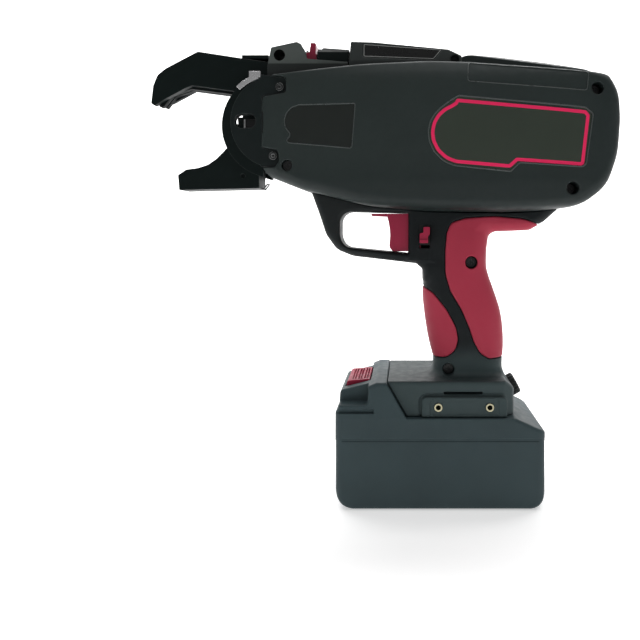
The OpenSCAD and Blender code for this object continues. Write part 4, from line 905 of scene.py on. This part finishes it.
def front_fn(x, y, z):
    g = grip_solid(x, y, z) - 0.25
    d = hi(g, sd(FRONT_RED, x, z) + 0.5, 1.1)
    d = np.maximum(d, -(g + 2.35))
    return hi(d, -np.abs(y) + 0.05, 0.35)


front = solid("front_grip_skin", front_fn, (-14, -20, 89.5), (16, 20, 143), 0.55, 0.3, "housing", "front_grip", M_GRIP)



def dial_fn(x, y, z):
    px_, pz_ = x - f32(51.5), z - f32(70.5)
    t = px_ * f32(dial_ax[0]) + pz_ * f32(dial_ax[2])
    u = px_ * f32(dial_ax[2]) - pz_ * f32(dial_ax[0])
    rad, ang = np.hypot(u, y), np.arctan2(u, y + 0 * u)
    d = hi(rad - f32(7.1) - 0.25 * np.cos(18 * ang), slab(t, -3.5, 3.6), 1.5)
    d = cut(d, np.maximum(np.maximum(np.abs(u) - 0.7, rad - 5.4), 2.8 - t), 0.2)
    return np.minimum(d, np.maximum(rad - 3, slab(t, -7, 0)))


solid("dial_knob", dial_fn, (32, -9.5, 60), (62, 9.5, 83), 0.45, 0.3, "dial", "adjust_dial", M_DARK)

# ---------------------------------------------------------------- battery
B2 = 38.5
BAT_P = rp([[-68, -B2, 6], [68, -B2, 6], [68, B2, 6], [-68, B2, 6]], 14)
HUMP_A = rp([[-68, 43.6, 0.3], [68, 43.6, 0.3], [68, 48.6, 1.5], [48.2, 57.7, 1.5], [20, 80], [-41, 80, 3], [-47, 77.6, 3], [-64.8, 73.2, 2.5], [-65.6, 63.8, 2], [-68, 61, 2]])
HUMP_B = np.array([[-90, 30], [90, 30], [90, 57.7], [-21.8, 57.7], [-34.6, 80], [-46.1, 100], [-90, 100]])
THUMB = rp([[-90, 66.2], [-46.6, 66.2, 2], [-45.8, 76, 4], [-52, 90], [-90, 90]])


LOWER_V = rp([[-67.86, 60], [-67.86, 0, 13], [67.86, 0, 11], [67.86, 60]], 16)


def lower_fn(x, y, z):
    return hi(hi(sd(LOWER_V, x, z), sd(BAT_P, x, y) + 0.14, 2.6), z - 45.2)


def upper_fn(x, y, z):
    ay = np.abs(y)
    d = hi(sd(HUMP_A, x, z), sd(BAT_P, x, y) + np.maximum(0, z - 58) * 0.05, 2.2)
    d = hi(d, sd(HUMP_B, x, z), 0.35)
    # finger recesses beside the button, with a ledge under each
    d = cut(d, np.maximum(sd(THUMB, x, z), 27.4 - ay), 1.2)
    d = cut(d, np.maximum(np.maximum(slab(x, -90, -42.4), slab(z, 61.0, 63.8)), 36.2 + (z - 61) * 0.3 - ay), 0.3)
    d = cut(d, np.maximum(np.maximum(slab(x, -62.2, -45.4), ay - 18.9), 65.4 - z), 0.6)
    rail = np.maximum(np.maximum(slab(x, -27.5, 44.4), ay - 24), slab(z, 61.4, 69))
    neck = np.maximum(np.maximum(slab(x, -26, 44.4), ay - 19.7), slab(z, 50, 62))
    d = np.minimum(d, np.minimum(rail, neck))
    return np.maximum(d, 43.48 - z)


battery_lower = solid("battery_lower", lower_fn, (-69.6, -40, -1.5), (69.6, 40, 46.5), 0.8, 0.2, "battery", "battery_lower_case", M_BATT)
battery_upper = solid("battery_upper", upper_fn, (-69.6, -40, 42.5), (69.6, 40, 82), 0.62, 0.2, "battery", "battery_upper_case", M_BATT)
BTN = rp([[-61.4, 69, 0.5], [-61.4, 77.3, 2.2], [-46.2, 78.4, 0.8], [-46.2, 69, 0.5]])


def button_fn(x, y, z):
    d = hi(sd(BTN, x, z), np.abs(y) - 18.4, 0.7)
    for gx in (-57.6, -55.9, -53.6, -51.9, -49.6, -47.9):
        d = cut(d, np.maximum(np.maximum(np.abs(x - gx) - 0.5, np.abs(y) - 15.5), 76.0 - z), 0.15)
    return d


solid("button_cap", button_fn, (-63, -20, 65), (-45, 20, 80), 0.36, 0.25, "button", "battery_button", M_BTN)

# ---------------------------------------------------------------- right shell, door and latch
SIDE_RT = rp([[-84, 284, 1], [-82, 299, 4], [-58, 297.5, 20], [-8, 292.5, 20], [3, 292, 8], [14, 297, 12], [26, 303, 12], [45, 305, 40], [77, 302, 40], [98, 296, 25],
              [111.6, 285, 20], [121.6, 268, 25], [124.6, 250, 30], [120.8, 229, 40], [109.8, 206.8, 30], [92.4, 193.6, 25], [66, 190.3, 60], [43, 189, 100], [-6, 190, 100],
              [-48, 194, 100], [-84, 203, 1]], 12)
SIDE_NT = rp([[-117.3, 281, 1], [-70, 286, 1], [-70, 199.6, 1], [-92, 205, 60], [-117.3, 215, 1]])
PLAN_RT = rp([[-86, -8], [-86, 33, 4], [-78, 37.2, 6], [100, 37.2, 18], [125, 26, 12], [125, -8]], 12)
PLAN_NT = rp([[-118, -8], [-118, 19.5, 1], [-98, 22.5, 30], [-70, 26.1], [-70, -8]])
PLAN_BU = rp([[-85.4, -8], [-85.4, 40, 13], [-27, 40, 1.5], [-27, -8]], 14)
SIDE_BU = rp([[-86, 292, 9], [-27, 287.5, 4], [-27, 201, 4], [-86, 206.5, 9]])
NOSE_L = rp([[-101, 263, 1.5], [-88.6, 263, 1.5], [-88.6, 228, 1.5], [-101, 228, 1.5]])
nose_y = lambda x, z: np.interp(x, [-118, -98, -70], [19.5, 22.5, 26.1]) + 0 * np.asarray(z, float)
R_LABEL = rp([[-71, 285, 5], [-37, 285, 5], [-37, 221, 5], [-71, 221, 5]])


def right_fn(x, y, z):
    a = hi(sd(SIDE_RT, x, z), sd(PLAN_RT, x, y), 3.0)
    a = hi(a, (z - 299.4 + 0.125 * (x - 26) - 0.35 * y) * 0.937, 2.0)
    b = hi(sd(SIDE_NT, x, z), sd(PLAN_NT, x, y), 2.0)
    d = lo(a, b, 1.2)
    d = lo(d, hi(sd(SIDE_BU, x, z), sd(PLAN_BU, x, y), 4.0), 1.0)
    d = cut(d, np.maximum(sd(R_LABEL, x, z), 39.2 - y), 0.4)
    d = cut(d, np.maximum(sd(NOSE_L, x, z), nose_y(x, z) - 0.6 - y), 0.3)
    d = cut(d, np.maximum(disc(x, z, -97.5, 215.6, 2.3), 19.6 - y), 0.4)
    d = hi(d, 0.05 - y, 0.3)
    d = cut(d, np.maximum(disc(x, z, 62, 247, 47), 2.8 - y), 0.6)
    d = cut(d, hi(sd(PLATE, x, z) - 0.45, 16.1 - y), 0.5)
    d = cut(d, np.maximum(np.maximum(x + 113, np.abs(y) - 16.3), slab(z, 218, 320)))
    d = cut(d, np.maximum(np.maximum(slab(x, -130, -75), np.abs(y) - 16.1), slab(z, 227, 277)))
    d = cut(d, np.maximum(np.maximum(slab(x, -130, -60.6), np.abs(y) - 15.8), 270 - z))
    d = cut(d, np.maximum(np.maximum(slab(x, -61, 16), np.abs(y) - 18), 285 - z))
    d = cut(d, np.hypot(x + 20, y - 40.6) - 4.2, 0.3)
    d = cut(d, np.maximum(disc(x, z, -79.2, 271, 1.9), 20 - y), 0.3)
    for z0, z1 in ((216, 230), (248, 262), (280, 287)):
        d = np.minimum(d, np.maximum(np.minimum(np.hypot(x + 20, y - 40.6) - 3.5, np.maximum(slab(x, -28, -20), slab(y, 37, 40))), slab(z, z0, z1)))
    d = np.minimum(d, np.maximum(np.hypot(x + 20, y - 40.6) - 1.5, slab(z, 198, 288)))
    return np.maximum(d, -drive_room(x, y, z))


right_shell = solid("right_shell", right_fn, (-121, -1, 186), (127, 46, 307), 0.75, 0.2, "housing", "right_housing", M_BODY)
flat = lambda x, z: 0 * np.asarray(x, float) + 40.0
fill(offset(R_LABEL, 0.4), flat, 0.45, 6, "right_panel", "housing", M_LABEL2, out=1, thick=0.3)
stripe(rp([[-68, 281.6, 4], [-40, 281.6, 4], [-40, 223.8, 4], [-68, 223.8, 4]], 6), 1.1, flat, 0.40, "right_line", M_STRIPE, out=1)
fill(offset(NOSE_L, 0.25), nose_y, 0.35, 3, "nose_panel", "housing", M_LABEL2, out=1, thick=0.2)
rim(offset(R_LABEL, -0.3), 0.8, 0.35, flat, "right_rim", M_RIM_PAINTED_HIGHLIGHT, out=1)

DOORP = rp([[-15.4, 288, 2], [3, 290.4, 8], [14, 295.6, 12], [26, 301.6, 12], [45, 303.6, 40], [77, 300.6, 40], [97.4, 294.6, 25], [109, 284, 20], [117.2, 267.4, 25],
            [119.6, 250, 30], [116.6, 228.6, 40], [107, 207.6, 30], [91.4, 195.4, 25], [66, 192, 60], [43, 190.6, 100], [-15.4, 192.4, 2]], 12)
POCKETS = [rp(q) for q in ([[-11, 280, 1.5], [20, 281, 1.5], [20, 250, 1.5], [-11, 250, 1.5]], [[-11, 246, 1.5], [20, 246, 1.5], [20, 222, 1.5], [-11, 222, 1.5]],
                           [[-11, 218, 1.5], [54, 214, 1.5], [54, 197, 1.5], [-11, 197, 1.5]], [[24, 281, 1.5], [54, 278, 1.5], [54, 218, 1.5], [24, 220, 1.5]])]
LATCH_AT = ((90, 266), (89, 241))


def door_fn(x, y, z):
    d = np.maximum(hi(sd(DOORP, x, z), y - 41.2, 1.0), 37.6 - y)
    for q in POCKETS:
        d = cut(d, np.maximum(sd(q, x, z), 39.4 - y), 0.5)
    for sx, sz in ((19, 291.2), (9.5, 287.0)):
        d = cut(d, np.maximum(disc(x, z, sx, sz, 2.2), 40.2 - y), 0.3)
        d = np.minimum(d, np.maximum(disc(x, z, sx, sz, 1.7), slab(y, 39, 40.9)))
    for z0, z1 in ((200, 214), (232, 246), (264, 278)):
        d = np.minimum(d, np.maximum(np.minimum(np.hypot(x + 20, y - 40.6) - 3.6, np.maximum(slab(x, -20, -14), slab(y, 39.2, 41.2))), slab(z, z0, z1)))
    d = cut(d, np.hypot(x + 20, y - 40.6) - 1.75)
    for px_, pz_ in LATCH_AT:
        d = cut(d, np.maximum(disc(x, z, px_, pz_, 1.7), y - 60))
        d = cut(d, np.maximum(disc(x, z, px_, pz_, 3.2), y - 38.8))
    return d


solid("door_skin", door_fn, (-26, 36.5, 189), (122, 45.5, 306), 0.6, 0.2, "door", "reel_door", M_BODY)
LATCHP = rp([[60, 300.6, 2], [77, 299, 3], [77.4, 292, 3], [97, 284, 20], [109.6, 262, 10], [101, 255, 4], [99, 230, 2], [60, 230, 2]], 8)
LATCHQ = rp([[60, 297, 1.5], [76, 296, 1.5], [76, 238, 1.5], [60, 238, 1.5]])


def capsule(x, z, ax, az, bx_, bz, r):
    ex, ez = bx_ - ax, bz - az
    t = np.clip(((x - ax) * ex + (z - az) * ez) / (ex * ex + ez * ez), 0, 1)
    return np.hypot(x - ax - ex * t, z - az - ez * t) - r


def latch_fn(x, y, z):
    d = np.maximum(hi(sd(LATCHP, x, z), y - 44.6, 0.8), 41.5 - y)
    d = cut(d, np.maximum(sd(LATCHQ, x, z), 44.0 - y), 0.3)
    for px_, pz_ in LATCH_AT:
        d = cut(d, np.maximum(capsule(x, z, px_, pz_, px_, pz_ - 6, 1.9), 30 - y))
        d = cut(d, np.maximum(capsule(x, z, px_, pz_, px_, pz_ - 6, 4.4), 43 - y), 0.3)
    return d


bed = lambda x, z: 0 * np.asarray(x, float) + 43.0
for i_, (px_, pz_) in enumerate(LATCH_AT):
    rim(rp([[px_ - 3.15, pz_ + 3.15, 3.1], [px_ + 3.15, pz_ + 3.15, 3.1], [px_ + 3.15, pz_ - 9.15, 3.1], [px_ - 3.15, pz_ - 9.15, 3.1]], 6), 2.2, 0.2, bed, f"slot_face_{i_}", M_MATTE, body="latch", out=1, step=1.0)
solid("latch_skin", latch_fn, (58, 40.5, 228), (112, 46, 303), 0.5, 0.2, "latch", "door_latch", M_RED)

# ---------------------------------------------------------------- top cover
COVER = rp([[-60.3, 285.3, 0.5], [-59.2, 304.9, 1.2], [-44, 304.4, 30], [6.6, 299.3, 4], [15.4, 294.8, 1.5], [15.4, 285.3, 0.5]])
COVER_S = rp([[-17.7, 280], [-17.7, 291, 2], [-14.4, 306.4, 1.2], [14.4, 306.4, 1.2], [17.7, 291, 2], [17.7, 280]])
COVER_L = rp([[-51, 303.6, 0.8], [-51, 293.4, 1.5], [-3.2, 291.6, 1.5], [3.2, 299.6, 0.8]])


def cover_fn(x, y, z):
    base = hi(sd(COVER, x, z), sd(COVER_S, y, z), 1.0)
    d = hi(base, -hi(sd(COVER_L, x, z), np.maximum(-(sd(COVER_S, y, z) + 0.5), y)), 0.3)
    d = cut(d, np.maximum(np.maximum(slab(x, -58, 13.2), np.abs(y) - 15.2), z - 288))
    d = cut(d, np.maximum(np.maximum(slab(x, -34, -20), slab(y, 4, 12)), 290 - z), 0.3)
    return cut(d, np.maximum(np.hypot(x - 10.8, z - 292.2) - 3.0, y + 12), 0.3)


solid("cover_skin", cover_fn, (-62, -19, 284), (17, 19, 308), 0.5, 0.2, "housing", "top_cover", M_COVER)
slope = lambda x, z: -17.7 + (np.asarray(z, float) - 291) * (3.3 / 15.4) + 0 * np.asarray(x, float)

COVER_P = rp([[-50.6, 303.2, 0.6], [-50.6, 293.9, 1.2], [-3.3, 292.1, 1.2], [2.4, 299.2, 0.6]], 5)
fill(COVER_P, slope, 0.3, 3, "cover_panel", "housing", M_BLACK, thick=0.15)
stripe(offset(COVER_P, 0.5), 0.4, slope, 0.27, "cover_line", M_LINE)

FEED = rp([[-79.4, 292.4, 0.2], [-79.4, 303.2, 1.2], [-60.7, 300.9, 0.8], [-60.7, 291, 0.2]])
FEED_S = rp([[-15, 280], [-15, 297.6, 1], [-6, 303, 4], [-3, 310], [15, 310], [15, 280]])


def feed_fn(x, y, z):
    d = np.minimum(sd(FEED, x, z), hi(brick(x, y, z, -81.8, -78, -15, -8.3, 292.7, 303.3), slab(y, -15, -8.3), 0.4))
    d = hi(d, sd(FEED_S, y, z), 0.6)
    d = np.minimum(d, brick(x, y, z, -87, -78, 12.9, 15.0, 293.2, 304.2, 0.6))
    d = cut(d, np.maximum(np.maximum(np.maximum(slab(x, -77.8, -63.8), np.abs(y) - 13.4), sd(FEED_S, y, z) + 1.7), z - 300.4 + (x + 77.8) * 0.13))
    return cut(d, np.maximum(np.maximum(slab(x, -81, -77.7), slab(y, 7.8, 12.7)), z - 295.4))


solid("feed_skin", feed_fn, (-88.5, -16.5, 290), (-59, 16.5, 306.3), 0.5, 0.3, "housing", "feed_cover", M_FEED)

# ---------------------------------------------------------------- hard parts with eased edges
for node_, body_, mat_, w_ in (
        ("left_nose_plate", "housing", M_NOSE, 0.45), ("right_nose_plate", "housing", M_NOSE, 0.45), ("nose_frame", "housing", M_ARM, 0.5),
        ("arm_left_plate", "housing", M_ARM, 0.6), ("arm_right_plate", "housing", M_ARM, 0.6), ("arm_tip_insert", "housing", M_CORE, 0.5), ("nose_screws", "housing", M_ZINC, 0.35),
        ("lower_guide", "guide", M_ARM, 0.5), ("feed_frame", "housing", M_CAST, 0.5), ("release_lever", "lever", M_RED, 0.5),
        ("trigger", "trigger", M_RED, 1.0), ("trigger_shield", "trigger", M_RED, 0.3), ("trigger_lock", "lock", M_LOCK, 0.35), ("guide_strip", "housing", M_STEEL, 0.25)):
    eased(node_, body_, mat_, w_)

def sleeve(name, cx_, cz_, r0, r1, y0, y1, mat, body="housing", n=40):
    """A plain tube along y; used as a dark liner that paints shade inside a hole."""
    co, faces = [], []
    for r, yy in ((r1, y0), (r1, y1), (r0, y1), (r0, y0)):
        co += [((cx_ + r * math.cos(2 * math.pi * i / n)) / 1000, yy / 1000, (cz_ + r * math.sin(2 * math.pi * i / n)) / 1000) for i in range(n)]
    for a in range(4):
        b = (a + 1) % 4
        faces += [(a * n + i, b * n + i, b * n + (i + 1) % n, a * n + (i + 1) % n) for i in range(n)]
    me = bpy.data.meshes.new(name)
    me.from_pydata(co, [], faces)
    bm = bmesh.new()
    bm.from_mesh(me)
    bmesh.ops.recalc_face_normals(bm, faces=bm.faces)
    bm.to_mesh(me)
    bm.free()
    me.polygons.foreach_set("use_smooth", np.ones(len(me.polygons), bool))
    me.set_sharp_from_angle(angle=math.radians(40))
    me.materials.append(mat)
    ob = link(name, me)
    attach(ob, body)
    return ob


def coil(name, x0, x1, cz_, r, w, turns, mat, node):
    """A round wire spring along x."""
    n, k = 36 * turns, 10
    t = np.linspace(0, 1, n + 1)
    a = 2 * math.pi * turns * t
    c = np.stack([x0 + (x1 - x0) * t, r * np.cos(a), cz_ + r * np.sin(a)], 1)
    out = np.stack([0 * a, np.cos(a), np.sin(a)], 1)
    tan = np.gradient(c, axis=0)
    tan /= np.linalg.norm(tan, axis=1)[:, None]
    side = np.cross(tan, out)
    co = np.concatenate([c + w * (math.cos(b) * out + math.sin(b) * side) for b in 2 * math.pi * np.arange(k) / k])
    m = n + 1
    faces = [(j * m + i, j * m + i + 1, (j + 1) % k * m + i + 1, (j + 1) % k * m + i) for j in range(k) for i in range(n)]
    faces += [tuple(j * m for j in range(k)), tuple(j * m + n for j in reversed(range(k)))]
    me = bpy.data.meshes.new(name)
    me.from_pydata((co / 1000).tolist(), [], faces)
    bm = bmesh.new()
    bm.from_mesh(me)
    bmesh.ops.recalc_face_normals(bm, faces=bm.faces)
    bm.to_mesh(me)
    bm.free()
    me.polygons.foreach_set("use_smooth", np.ones(len(me.polygons), bool))
    me.set_sharp_from_angle(angle=math.radians(50))
    me.materials.append(mat)
    ob = link(name, me)
    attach(ob, "housing")
    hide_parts(node)
    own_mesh(ob)
    return ob


def seam(name, outline, z0, z1, mat, body):
    """The dark joint line between two case halves, as a thin band round an outline in plan."""
    L = resample(np.asarray(outline, float), 3.0)
    a, b = offset(L, -0.03), offset(L, 0.6)
    n = min(len(a), len(b))
    rows = [(a, z0), (a, z1), (b, z1), (b, z0)]
    co = [(q[0] / 1000, q[1] / 1000, z / 1000) for line, z in rows for q in line[:n]]
    faces = [(k * n + i, k * n + (i + 1) % n, (k + 1) % 4 * n + (i + 1) % n, (k + 1) % 4 * n + i) for k in range(4) for i in range(n)]
    me = bpy.data.meshes.new(name)
    me.from_pydata(co, [], faces)
    bm = bmesh.new()
    bm.from_mesh(me)
    bmesh.ops.recalc_face_normals(bm, faces=bm.faces)
    bm.to_mesh(me)
    bm.free()
    me.polygons.foreach_set("use_smooth", np.ones(len(me.polygons), bool))
    me.set_sharp_from_angle(angle=math.radians(40))
    me.materials.append(mat)
    ob = link(name, me)
    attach(ob, body)
    return ob


seam("case_seam", rp([[-67.4, -B2, 6], [67.4, -B2, 6], [67.4, B2, 6], [-67.4, B2, 6]], 14), 43.25, 43.55, M_SEAM, "battery")
coil("trigger_coil", -23.3, -4.2, 175, 3.4, 0.4, 7, M_STEEL, "trigger_spring")
# a matt black tube inside the eye hole: painted shade that darkens the hole's wall
sleeve("eye_shade_liner", -107, 295.4, 3.62, 3.78, -15.3, 15.3, M_MATTE)

# ---------------------------------------------------------------- stage and light
stage_mat = material("studio_floor", (0.86, 0.86, 0.86), rough=0.9, spec=0.1, bump=0.02, grain=3, var=0.01)
stage_mat.node_tree.nodes["Principled BSDF"].inputs["Emission Color"].default_value = (1, 1, 1, 1)
stage_mat.node_tree.nodes["Principled BSDF"].inputs["Emission Strength"].default_value = 0.42
prof = [(-0.7, 0.0), (1.1, 0.0)] + [(1.1 + 0.8 * math.sin(a), 0.8 - 0.8 * math.cos(a)) for a in np.linspace(0.1, math.pi / 2, 12)] + [(1.9, 3.2)]
sv, sf = [], []
for i, (yy, zz) in enumerate(prof):
    sv += [(-3.2, yy, zz), (3.2, yy, zz)]
    if i:
        sf.append((2 * i - 2, 2 * i - 1, 2 * i + 1, 2 * i))
sm = bpy.data.meshes.new("studio_sweep")
sm.from_pydata(sv, [], sf)
sm.polygons.foreach_set("use_smooth", np.ones(len(sf), bool))
sm.materials.append(stage_mat)
sweep = link("studio_sweep", sm)
sweep.location.z = -0.0004


def area(name, loc, target, size, power, col=(1, 1, 1)):
    L = bpy.data.lights.new(name, "AREA")
    L.shape, L.size, L.size_y, L.energy, L.color = "RECTANGLE", size[0], size[1], power, col
    o = bpy.data.objects.new(name, L)
    o.location = loc
    o.rotation_euler = (Vector(target) - Vector(loc)).to_track_quat("-Z", "Y").to_euler()
    scene.collection.objects.link(o)
    return o


area("top_soft", (-0.05, -0.05, 1.15), (0, 0.02, 0.1), (1.3, 0.9), 4.5)
area("back_wash", (0, 0.7, 1.9), (0, 1.75, 0.5), (3.0, 0.8), 70)
world = bpy.data.worlds.new("studio")
scene.world = world
world.use_nodes = True
world.node_tree.nodes["Background"].inputs["Color"].default_value = (1, 1, 1, 1)
world.node_tree.nodes["Background"].inputs["Strength"].default_value = 0.3
scene.view_settings.view_transform = "Standard"
